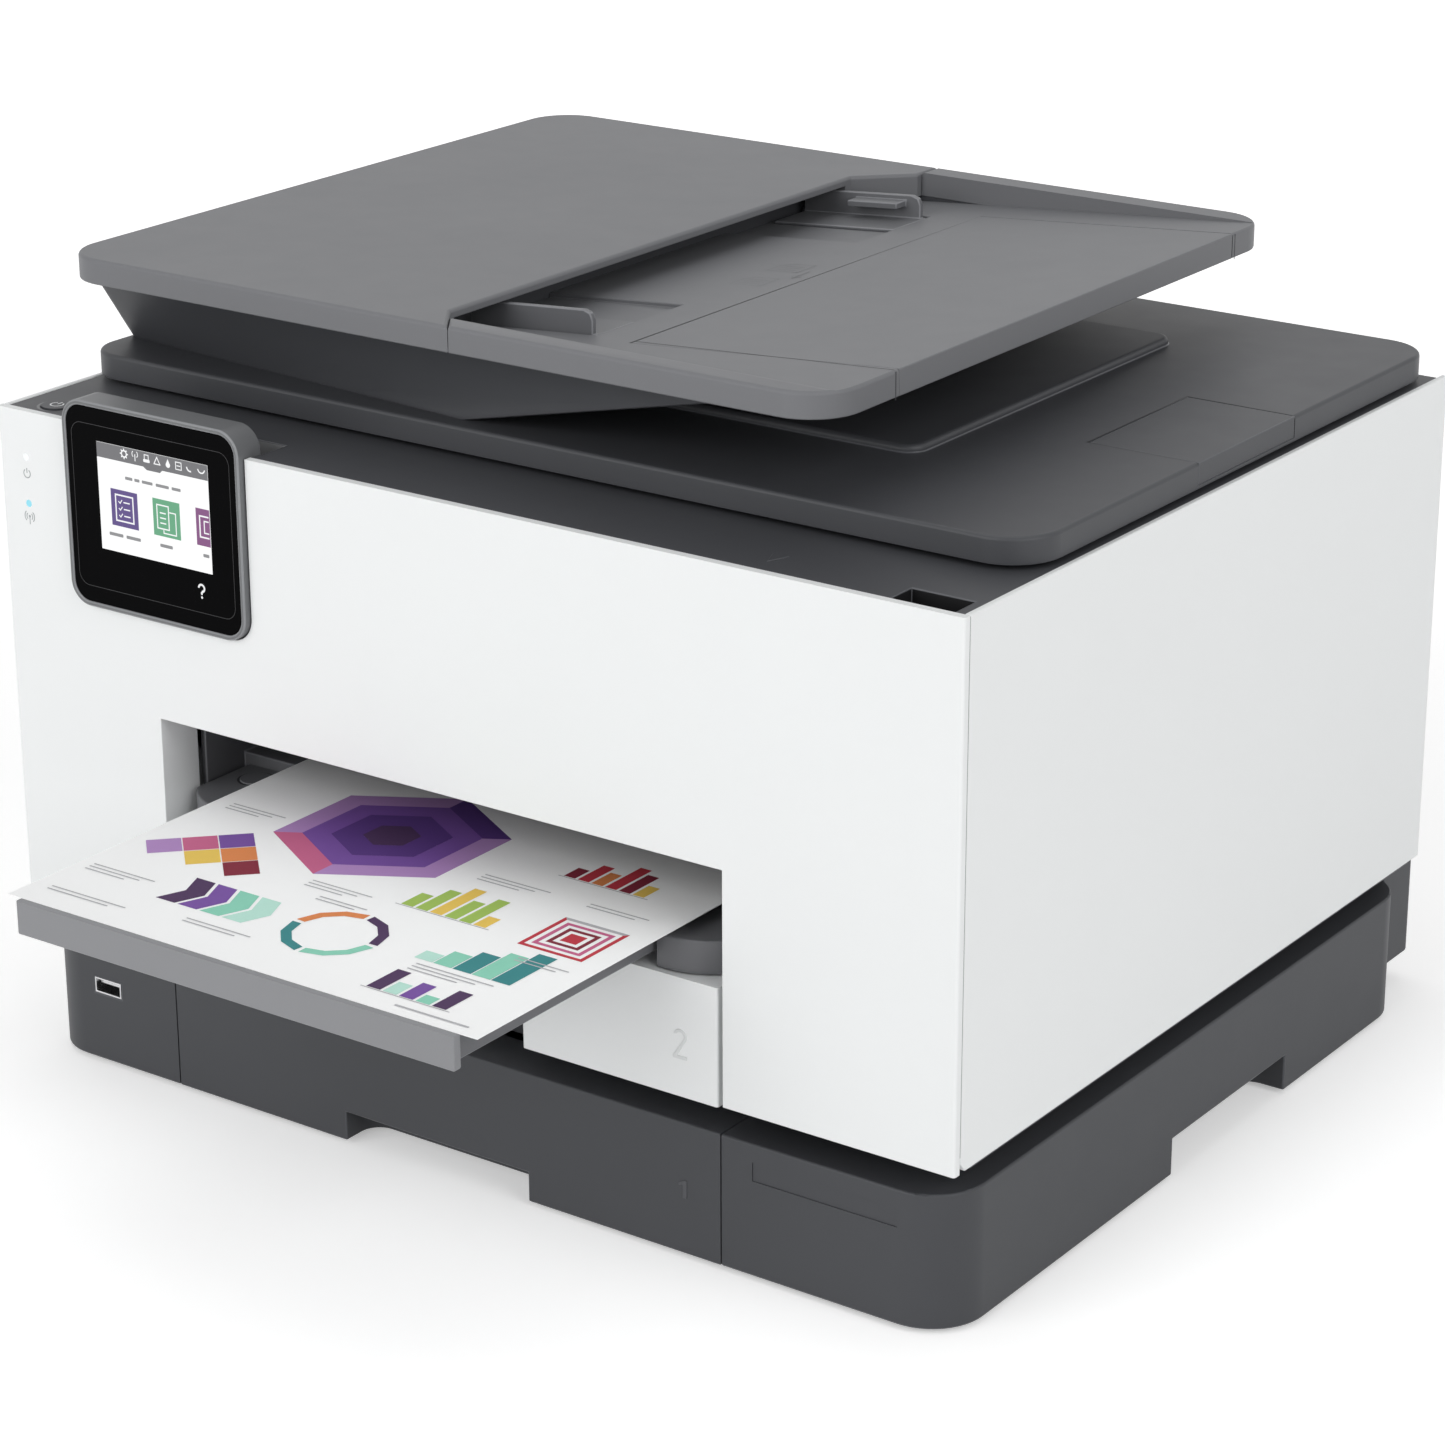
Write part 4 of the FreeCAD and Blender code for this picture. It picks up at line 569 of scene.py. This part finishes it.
def tile_symbols(page, mark):
    """A list of ticks, two sheets, and the start of a third symbol that the screen's edge cuts off."""
    page.line(mark, [(-19.4, -8.4), (-10.6, -8.4), (-10.6, 1.8), (-19.4, 1.8)], 0.6, True)
    for row in (-6.2, -3.5, -0.8):
        page.line(mark, [(-17.8, row), (-17.2, row - 0.6), (-16.2, row + 0.7)], 0.4)
        page.bar(mark, -15.4, -12.2, row - 0.25, row + 0.25)
    page.line(mark, [(1.6, -7.6), (7.4, -7.6), (7.4, 1.6), (1.6, 1.6)], 0.5, True)
    page.line(mark, [(8.0, -0.6), (10.9, -0.6), (10.9, -9.2), (4.6, -9.2), (4.6, -8.2)], 0.45)
    for row in (-5.4, -3.4, -1.4):
        page.bar(mark, 3.0, 6.0, row - 0.25, row + 0.25)
    page.line(mark, [(27.2, -7.2), (23.0, -7.2), (23.0, 1.0), (27.2, 1.0)], 0.6)
    page.line(mark, [(27.2, -5.4), (25.2, -5.4), (25.2, -0.8), (27.2, -0.8)], 0.5)


def screen_picture():
    """The touch screen's page: a status bar with symbols, a line of bars and three tiles with bars."""
    bar_grey = lit("status_bar", (0.135, 0.135, 0.145))
    mark = lit("symbol_white", (0.92, 0.93, 0.94))
    words = lit("word_grey", (0.24, 0.24, 0.25))
    purple = lit("tile_purple", (0.075, 0.035, 0.21))
    green = lit("tile_green", (0.10, 0.36, 0.19))
    plum = lit("tile_plum", (0.20, 0.05, 0.19))
    middle = spot(SCREEN_MID[0], GLASS_Y, SCREEN_MID[1])
    page = Drawing("screen_page", "control_panel", middle, *FRONT)
    half_w = SCREEN_SIZE[0] / 2
    half_h = SCREEN_SIZE[1] / 2
    bar_v = half_h - 5.9
    page.bar(bar_grey, -half_w, half_w, bar_v, half_h)
    page.patch(bar_grey, [[(-2.6, bar_v - 1.1), (4.0, bar_v - 1.1), (5.2, bar_v), (-4.4, bar_v)]])
    status_symbols(page, mark, half_h - 2.6)
    for u0, u1 in ((-13.9, -10.2), (-9.2, -6.6), (-5.4, 0.0), (1.6, 8.2), (9.6, 14.1)):
        page.bar(words, u0, u1, 8.5, 9.7, 0.3)
    for tile, left in ((purple, -21.8), (green, -0.5), (plum, 21.1)):
        page.bar(tile, left, min(left + 13.6, half_w), -10.6, 3.9)
    tile_symbols(page, mark)
    for u0, u1 in ((-23.5, -16.4), (-14.8, -7.5), (2.4, 8.7), (24.0, 27.0)):
        page.bar(words, u0, u1, -14.9, -13.6, 0.35)
    page.place()


def help_mark():
    mark = lit("help_mark", (0.85, 0.86, 0.87))
    plate = Drawing("help_mark", "control_panel", spot(HELP_MID[0], GLASS_Y, HELP_MID[1]), *FRONT)
    plate.arc(mark, 0, 1.3, 1.4, 0.8, -60, 180)
    plate.line(mark, [(0.5, 0.1), (0.0, -0.6), (0.0, -0.9)], 0.8)
    plate.disc(mark, 0.0, -2.3, 0.5, 12)
    plate.place()


def glass_groove():
    """The thin line that frames the touch glass."""
    groove = polished("panel_groove", (0.022, 0.022, 0.024), 0.30, 0.3)
    middle = spot(GROOVE_MID[0], GLASS_Y, GROOVE_MID[1])
    frame_line = Drawing("panel_groove", "control_panel", middle, *FRONT)
    half_u, half_v, r, width = 39.6, 32.3, 5.0, 0.22
    for side in (-1, 1):
        frame_line.line(groove, [(-half_u + r, side * half_v), (half_u - r, side * half_v)], width)
        frame_line.line(groove, [(side * half_u, -half_v + r), (side * half_u, half_v - r)], width)
    for su, sv, start in ((1, 1, 0), (-1, 1, 90), (-1, -1, 180), (1, -1, 270)):
        frame_line.arc(groove, su * (half_u - r), sv * (half_v - r), r, width, start, start + 90)
    frame_line.place()


def power_symbol(drawing, finish, u, v, r, width):
    drawing.arc(finish, u, v, r, width, 125, 415)
    drawing.line(finish, [(u, v + r * 0.25), (u, v + r * 1.15)], width)


def light_symbols():
    """The two lamps on the door with their power and wireless symbols."""
    mark = ink("door_symbol_grey", (0.36, 0.38, 0.39))
    cyan = lit("lamp_cyan", (0.27, 0.73, 0.87))
    white = lit("lamp_white", (0.93, 0.95, 0.96))
    door = Drawing("door_symbols", "front_door", spot(LIGHT_X, 0, 0), *FRONT)
    door.disc(white, 0, POWER_LIGHT_Z, LIGHT_R)
    door.disc(cyan, 0, WIRELESS_LIGHT_Z, LIGHT_R)
    power_symbol(door, mark, 0, POWER_MARK_Z, 1.7, 0.45)
    door.disc(mark, 0, WIRELESS_MARK_Z, 0.55, 12)
    door.line(mark, [(0, WIRELESS_MARK_Z - 0.4), (0, WIRELESS_MARK_Z - 3.0)], 0.4)
    for r in (1.5, 2.5):
        door.arc(mark, 0, WIRELESS_MARK_Z, r, 0.4, -48, 48)
        door.arc(mark, 0, WIRELESS_MARK_Z, r, 0.4, 132, 228)
    door.place()


def button_marks():
    mark = ink("button_symbol_pale", (0.80, 0.81, 0.82))
    ring = moulded("button_ring_plastic", (0.10, 0.102, 0.108), 0.3, 0.5, 0.02)
    cap = Drawing("button_symbol", "power_button", spot(BUTTON_MID[0], BUTTON_MID[1], BUTTON_TOP), *TOP)
    power_symbol(cap, mark, 0, 0, 2.5, 0.6)
    cap.place()
    strip = Drawing("button_ring", "body", spot(BUTTON_MID[0], BUTTON_MID[1], STRIP_TOP), *TOP)
    strip.arc(ring, 0, 0, 7.3, 1.0, 0, 360)
    strip.place()


def raised(name, body, loops, origin, across, up, height, finish, radius=0.12):
    """Low solid marks on a face, such as the tray numbers and the strip's arrow."""
    across = Vector(across)
    up = Vector(up)
    out = across.cross(up)
    points = []
    faces = []
    for loop in loops:
        count = len(loop)
        start = len(points)
        for level in (0.0, height):
            points.extend(origin + (across * u + up * v + out * level) * MM for u, v in loop)
        faces.append([start + count + i for i in range(count)])
        for i in range(count):
            j = (i + 1) % count
            faces.append([start + i, start + j, start + count + j, start + count + i])
    soften(make_piece(name, points, faces, finish, body), radius)


def arc_spots(r, v, turns):
    return [(r * math.cos(math.radians(t)), v + r * math.sin(math.radians(t))) for t in turns]


def tray_numbers():
    one = [[(-0.9, 0.0), (0.9, 0.0), (0.9, 7.3), (-0.2, 7.3), (-2.7, 5.9), (-2.7, 4.7), (-0.9, 5.5)]]
    raised("tray_number_one", "tray1", one, spot(*TRAY1_NUMBER_AT), *FRONT, NUMBER_RISE, DARK_NUMBER,
           NUMBER_EDGE)
    bend = arc_spots(2.9, 8.8, range(170, -50, -20))
    inner = arc_spots(1.7, 8.8, range(-45, 175, 20))
    two = [bend + [(-1.2, 1.3), (3.0, 1.3), (3.0, 0.0), (-3.1, 0.0), (-3.1, 1.0)] + inner]
    raised("tray_number_two", "tray2", two, spot(*TRAY2_NUMBER_AT), *FRONT, NUMBER_RISE, PALE_NUMBER,
           NUMBER_EDGE)


def strip_arrow():
    """The arrow moulded on the dark strip."""
    arrow = [[(0.0, 0.0), (3.4, 8.5), (-3.4, 8.5)]]
    raised("strip_arrow", "body", arrow, spot(*ARROW_AT, STRIP_TOP), *TOP, 0.25, LID_CHARCOAL)


def panel_recess():
    """A pale grey patch on the back wall of the recess that the touch panel tilts into: painted light, for
    the lit sloped wall of the recess in the dark strip.
    """
    painted_light_patch = Drawing("panel_recess_painted_light", "body", spot(0, RECESS_Y, 0), *FRONT)
    painted_light_patch.bar(RECESS_PAINTED_LIGHT_GREY, *RECESS_X, *RECESS_Z)
    painted_light_patch.place()


def door_gaps():
    """The shadow in the gap between the door and each side panel."""
    y0, y1 = DOOR_GAP_Y
    for name, side, u0, u1 in (("right", 1, y0, y1), ("left", -1, -y1, -y0)):
        place = spot(side * DOOR_GAP_X, 0, 0)
        gap = Drawing("door_gap_" + name, "body", place, (0, side, 0), (0, 0, 1))
        gap.bar(INNER, u0, u1, *DOOR_GAP_Z)
        gap.place()


def notch_painted_shade():
    """Painted shade: black faces on the floor and walls of the finger notch at the front right corner of the
    strip, for the shade inside it.
    """
    rim = 0.5
    z0, z1 = NOTCH_Z[0] + LIFT, NOTCH_Z[1] - rim
    x0, x1 = NOTCH_X[0] + LIFT, NOTCH_X[1] - LIFT
    y0, y1 = NOTCH_Y[0] + rim, NOTCH_Y[1] - LIFT
    floor = Drawing("notch_floor_shade", "body", spot(0, 0, NOTCH_Z[0]), *TOP)
    floor.bar(SOCKET_BLACK, x0, x1, y0, y1)
    back = Drawing("notch_back_shade", "body", spot(0, NOTCH_Y[1], 0), *FRONT)
    back.bar(SOCKET_BLACK, x0, x1, z0, z1)
    left = Drawing("notch_left_shade", "body", spot(NOTCH_X[0], 0, 0), (0, 1, 0), (0, 0, 1))
    left.bar(SOCKET_BLACK, y0, y1, z0, z1)
    right = Drawing("notch_right_shade", "body", spot(NOTCH_X[1], 0, 0), (0, -1, 0), (0, 0, 1))
    right.bar(SOCKET_BLACK, -y1, -y0, z0, z1)
    for face in (floor, back, left, right):
        face.place()


def stop_seams():
    """A black line painted in the lid around the document stop: painted shade in the seam between them."""
    low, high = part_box("document_stop")
    width = (high.x - low.x) / MM
    depth = (high.y - low.y) / MM
    seam = Drawing("document_stop_seam_shade", "lid", Vector((low.x, low.y, high.z)), *TOP)
    end = width - 4.0
    out = 0.6
    corners = [(end, -out), (-out, -out), (-out, depth + out), (end, depth + out)]
    seam.line(SOCKET_BLACK, corners, 0.5)
    seam.place()


def shoulder_disc():
    """The round cap on the left output block, with a black ring painted around it as the shade in its
    groove.
    """
    rim = [arc_spots(SHOULDER_DISC_R, 0, range(0, 360, 12))]
    place = spot(*SHOULDER_DISC_AT)
    raised("shoulder_disc", "body", rim, place, *TOP, 0.5, DARK_GREY, 0.2)
    groove = Drawing("shoulder_groove_shade", "body", place, *TOP)
    groove.arc(INNER, 0, 0, SHOULDER_DISC_R + 0.6, 1.0, 0, 360)
    groove.place()


def tank_labels():
    """Plain colour labels on the front grips of the ink tanks."""
    for node, finish in INK_TANKS.items():
        low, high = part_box(node)
        pale = moulded(node + "_label", (0.78, 0.79, 0.79), 0.45, 0.6, 0.02)
        mid = Vector(((low.x + high.x) / 2, low.y, high.z - 0.010))
        face = Drawing(node + "_label", "carriage", mid, *FRONT)
        face.bar(pale, -5.6, 5.6, -4.5, 4.5, 1.0)
        face.disc(finish, 0, 0, 2.6, 20)
        face.place()


def feeder_marks():
    """Shallow moulded pictures of a sheet on the feeder tray, and black lines painted along the seams at its
    extension: painted shade in the seams.
    """
    rise = (FEEDER_END[1] - FEEDER_MOUTH[1]) / (FEEDER_END[0] - FEEDER_MOUTH[0])
    along = Vector((1, 0, rise)).normalized()
    x, y = FEEDER_MARKS_AT
    origin = spot(x, y, FEEDER_END[1] - (FEEDER_END[0] - x) * rise)
    plate = Drawing("feeder_marks", "lid", origin, along, (0, 1, 0))
    mark = moulded("feeder_mark_plastic", (0.15, 0.153, 0.162), 0.5, 0.5, 0.03)
    for v in (-22.0, 3.0):
        plate.line(mark, [(-9, v), (5, v), (5, v + 13), (-5, v + 13), (-9, v + 9)], 0.5, True)
        for row in (3, 6, 9):
            plate.line(mark, [(-6.5, v + row), (2.5, v + row)], 0.45)
    plate.line(mark, [(9.0, -6.0), (9.0, 6.0)], 0.5)
    plate.line(mark, [(7.0, -3.0), (9.0, -6.0), (11.0, -3.0)], 0.5)
    # Painted shade: a black line along the front seam of the extension.
    plate.line(INNER, [(16.4, -116.4), (130.8, -121.2)], 0.45)
    plate.place()
    # Painted shade: black lines down the seams on the tray's end face.
    end = Drawing("feeder_end_seam_shade", "lid", spot(FEEDER_END[0], 0, 0), (0, 1, 0), (0, 0, 1))
    for seam_y in FEEDER_SEAM_Y:
        end.line(INNER, [(seam_y, z) for z in FEEDER_SEAM_Z], 0.6)
    end.place()


def page_print():
    """Plain charts on the printed page: nested hexagons, columns, steps and diamonds with bars for words."""
    inks = {
        "violet": (0.085, 0.03, 0.20), "purple": (0.17, 0.07, 0.33), "lilac": (0.42, 0.24, 0.52),
        "plum": (0.055, 0.02, 0.08), "mint": (0.25, 0.62, 0.47), "teal": (0.03, 0.22, 0.23),
        "orange": (0.70, 0.23, 0.07), "yellow": (0.80, 0.55, 0.10), "lime": (0.35, 0.52, 0.10),
        "maroon": (0.20, 0.01, 0.03), "red": (0.50, 0.03, 0.05), "pink": (0.55, 0.12, 0.25),
        "pale_mint": (0.48, 0.76, 0.66), "grey": (0.46, 0.46, 0.48),
    }
    ink_of = {name: ink("page_" + name, colour) for name, colour in inks.items()}
    front = spot(SHEET_MID_X, SHEET_FRONT_Y, SHEET_TOP)
    page = Drawing("page_print", "printed_sheet", front, *TOP, 0.002)

    def words(u, v, count, length):
        for row in range(count):
            low = v - 2.4 * row
            page.bar(ink_of["grey"], u, u + length * (1.0 - 0.18 * (row % 3)), low, low + 0.7)

    def hexagons(u, v):
        rings = (("lilac", 45, 34), ("purple", 34, 23), ("violet", 23, 11), ("plum", 11, 0))
        for name, r1, r0 in rings:
            page.shape(ink_of[name], u, v, r1, 6, 30.0, r0)
        page.sector(ink_of["violet"], u, v, 34, 45, 30, 90, 1)
        page.sector(ink_of["purple"], u, v, 23, 34, 210, 270, 1)
        page.sector(ink_of["pink"], u, v, 34, 45, 210, 270, 1)

    def columns(u, v, names, heights, width):
        for i, (name, height) in enumerate(zip(names, heights)):
            left = u + i * (width + 1.2)
            page.bar(ink_of[name], left, left + width, v, v + height)
        page.bar(ink_of["grey"], u - 2, u + len(names) * (width + 1.2) + 1, v - 1.0, v - 0.5)

    def squares(u, v):
        for name, r1, r0 in (("red", 20, 17.5), ("pink", 15, 12.5), ("maroon", 10, 7.5), ("red", 5, 0)):
            page.shape(ink_of[name], u, v, r1, 4, 45.0, r0)
        page.sector(ink_of["grey"], u, v, 17.5, 20, 45, 135, 1)

    def diamonds(u, v):
        steps = (("yellow", 0, 0), ("orange", 9.5, 9.5), ("pink", -9.5, 9.5), ("purple", 0, 19),
                 ("maroon", 19, 0), ("lilac", -19, 0))
        for name, du, dv in steps:
            page.shape(ink_of[name], u + du, v + dv, 9.2, 4, 90.0)

    def arrows(u, v):
        for i, name in enumerate(("plum", "purple", "mint", "pale_mint")):
            left = u + i * 10.5
            page.patch(ink_of[name], [[(left, v), (left + 9, v), (left + 13.5, v + 11), (left + 9, v + 22),
                                       (left, v + 22), (left + 4.5, v + 11)]])

    def stairs(u, v):
        for i, name in enumerate(("pale_mint", "mint", "teal", "mint", "teal")):
            page.bar(ink_of[name], u + 8.5 * i, u + 8.5 * i + 8.0, v, v + 7.0 + 5.0 * i)

    def outline(u, v):
        for name, start in (("orange", 90), ("teal", 180), ("mint", 270), ("plum", 0)):
            page.sector(ink_of[name], u, v, 15.5, 19.5, start, start + 84, 3)

    hexagons(-30.0, 122.0)
    columns(46.0, 128.0, ("maroon", "red", "orange", "red", "maroon", "yellow"), (9, 16, 12, 22, 18, 10),
            5.0)
    squares(84.0, 84.0)
    diamonds(-74.0, 66.0)
    arrows(-62.0, 28.0)
    columns(14.0, 74.0, ("lime", "lime", "yellow", "lime", "lime", "yellow"), (12, 20, 26, 17, 23, 9), 5.4)
    stairs(48.0, 40.0)
    outline(12.0, 40.0)
    columns(50.0, 12.0, ("plum", "pale_mint", "purple", "mint", "plum"), (17, 9, 13, 6, 15), 6.0)
    for u, v, count, length in ((-100, 112, 3, 26), (-26, 72, 3, 28), (22, 112, 3, 30), (70, 112, 2, 26),
                                (-102, 38, 3, 30), (-14, 62, 2, 22), (-40, 20, 2, 30), (52, 36, 3, 34),
                                (-100, 14, 2, 36), (78, 60, 2, 22)):
        words(u, v, count, length)
    page.bar(ink_of["grey"], 68.0, 100.0, 5.0, 6.0)
    page.place()


def rear_details():
    """Louvres drawn as flat dark bars of painted shadow, screws with painted shadow in their cross, and a
    plain plate on the back.
    """
    place = Vector((0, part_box("rear_housing")[1].y, 0))
    slot = moulded("louvre_shadow", (0.012, 0.012, 0.013), 0.6, 0.8, 0.05)
    face = Drawing("rear_louvres", "body", place, *BACK, 0.0005)
    for u in (-LOUVRE_X, LOUVRE_X):
        for i in range(LOUVRE_COUNT):
            v = LOUVRE_Z + LOUVRE_PITCH * i
            face.bar(slot, u - LOUVRE_HALF, u + LOUVRE_HALF, v, v + LOUVRE_T, 1.4)
    plate = moulded("rear_plate_plastic", (0.09, 0.092, 0.098), 0.4, 0.6, 0.02)
    face.bar(plate, -55.0, 55.0, 50.0, 76.0, 2.0)
    face.place()
    cross = [(0.6, 0.6), (1.65, 0.6), (1.65, -0.6), (0.6, -0.6), (0.6, -1.65), (-0.6, -1.65)]
    cross += [(-a, -b) for a, b in cross]
    head = Drawing("rear_screws", "body", place, *BACK, 0.001)
    for v in SCREW_Z:
        for u in (-SCREW_X, SCREW_X):
            head.disc(STEEL, u, v, SCREW_R)
            head.patch(slot, [[(u + a, v + b) for a, b in cross]])
    head.place()


def studio():
    """A pale floor that is white where it is looked at, apart from the shadow, and soft lamps."""
    floor = Finish("pale_studio_floor")
    cloud = floor.noise(900.0, 2.0)
    tone = floor.blend(cloud, (0.93, 0.93, 0.93, 1), (0.95, 0.95, 0.95, 1))
    away = floor.add("ShaderNodeVectorMath", {"operation": "LENGTH"}, {0: floor.place()}, "Value")
    glow = floor.blend((away - 0.45) * 0.6, (0.36, 0.36, 0.36, 1), (0.75, 0.75, 0.75, 1))
    rays = [floor.add("ShaderNodeLightPath", {}, {}, kind) for kind in BACKGROUND_RAYS]
    glow = floor.blend(rays[0] + rays[1] + rays[2], (0, 0, 0, 1), glow)
    floor.wear(Base_Color=tone, Roughness=0.9 + cloud * 0.05, Emission_Color=glow, Emission_Strength=1.0)
    mesh = bpy.data.meshes.new("studio_floor")
    corners = [(-1, -1), (1, -1), (1, 1), (-1, 1)]
    mesh.from_pydata([(x * FLOOR_REACH, y * FLOOR_REACH, 0) for x, y in corners], [], [[0, 1, 2, 3]])
    mesh.materials.append(floor.material)
    ground = bpy.data.objects.new("studio_floor", mesh)
    bpy.context.collection.objects.link(ground)

    world = bpy.data.worlds.new("studio_world")
    bpy.context.scene.world = world
    world.use_nodes = True
    nodes = world.node_tree.nodes
    links = world.node_tree.links
    sky = nodes["Background"]
    sky.inputs["Color"].default_value = (1, 1, 1, 1)
    path = nodes.new("ShaderNodeLightPath")
    strength = None
    for kind in BACKGROUND_RAYS:
        step = nodes.new("ShaderNodeMath")
        step.operation = "MULTIPLY_ADD"
        links.new(path.outputs[kind], step.inputs[0])
        step.inputs[1].default_value = 1.0 - WORLD_LEVEL
        step.inputs[2].default_value = WORLD_LEVEL
        if strength:
            links.new(strength, step.inputs[2])
        strength = step.outputs[0]
    links.new(strength, sky.inputs["Strength"])

    lamps = (
        ("front_softbox", (-0.7, -2.7, 1.1), (0, 0, 0.15), 2.4, 43.0),
        ("right_softbox", (2.6, -0.6, 1.5), (0, 0, 0.15), 2.0, 33.0),
        ("top_softbox", (-0.4, 0.4, 2.6), (0, 0, 0.2), 2.2, 13.0),
    )
    for name, place, aim, size, power in lamps:
        lamp = bpy.data.lights.new(name, "AREA")
        lamp.shape = "SQUARE"
        lamp.size = size
        lamp.energy = power
        holder = bpy.data.objects.new(name, lamp)
        holder.location = place
        holder.rotation_mode = "QUATERNION"
        holder.rotation_quaternion = (Vector(aim) - Vector(place)).to_track_quat("-Z", "Y")
        bpy.context.collection.objects.link(holder)


def photo_camera():
    lens = bpy.data.cameras.new("photo_camera")
    lens.lens = CAMERA_LENS
    lens.sensor_width = 36.0
    lens.clip_start = 0.05
    lens.clip_end = 100.0
    camera = bpy.data.objects.new("photo_camera", lens)
    bpy.context.collection.objects.link(camera)
    turn = Matrix.Rotation(math.radians(CAMERA_YAW), 4, "Z")
    turn = turn @ Matrix.Rotation(math.radians(90 - CAMERA_PITCH), 4, "X")
    turn = turn @ Matrix.Rotation(math.radians(CAMERA_ROLL), 4, "Z")
    camera.matrix_world = Matrix.Translation(spot(*CAMERA_SPOT)) @ turn
    bpy.context.scene.camera = camera


def build():
    bpy.context.scene.view_settings.view_transform = "Standard"
    dress_nodes()
    screen_picture()
    help_mark()
    glass_groove()
    light_symbols()
    button_marks()
    tray_numbers()
    strip_arrow()
    panel_recess()
    door_gaps()
    notch_painted_shade()
    stop_seams()
    shoulder_disc()
    tank_labels()
    feeder_marks()
    page_print()
    rear_details()
    studio()
    photo_camera()


build()
bpy.context.view_layer.update()
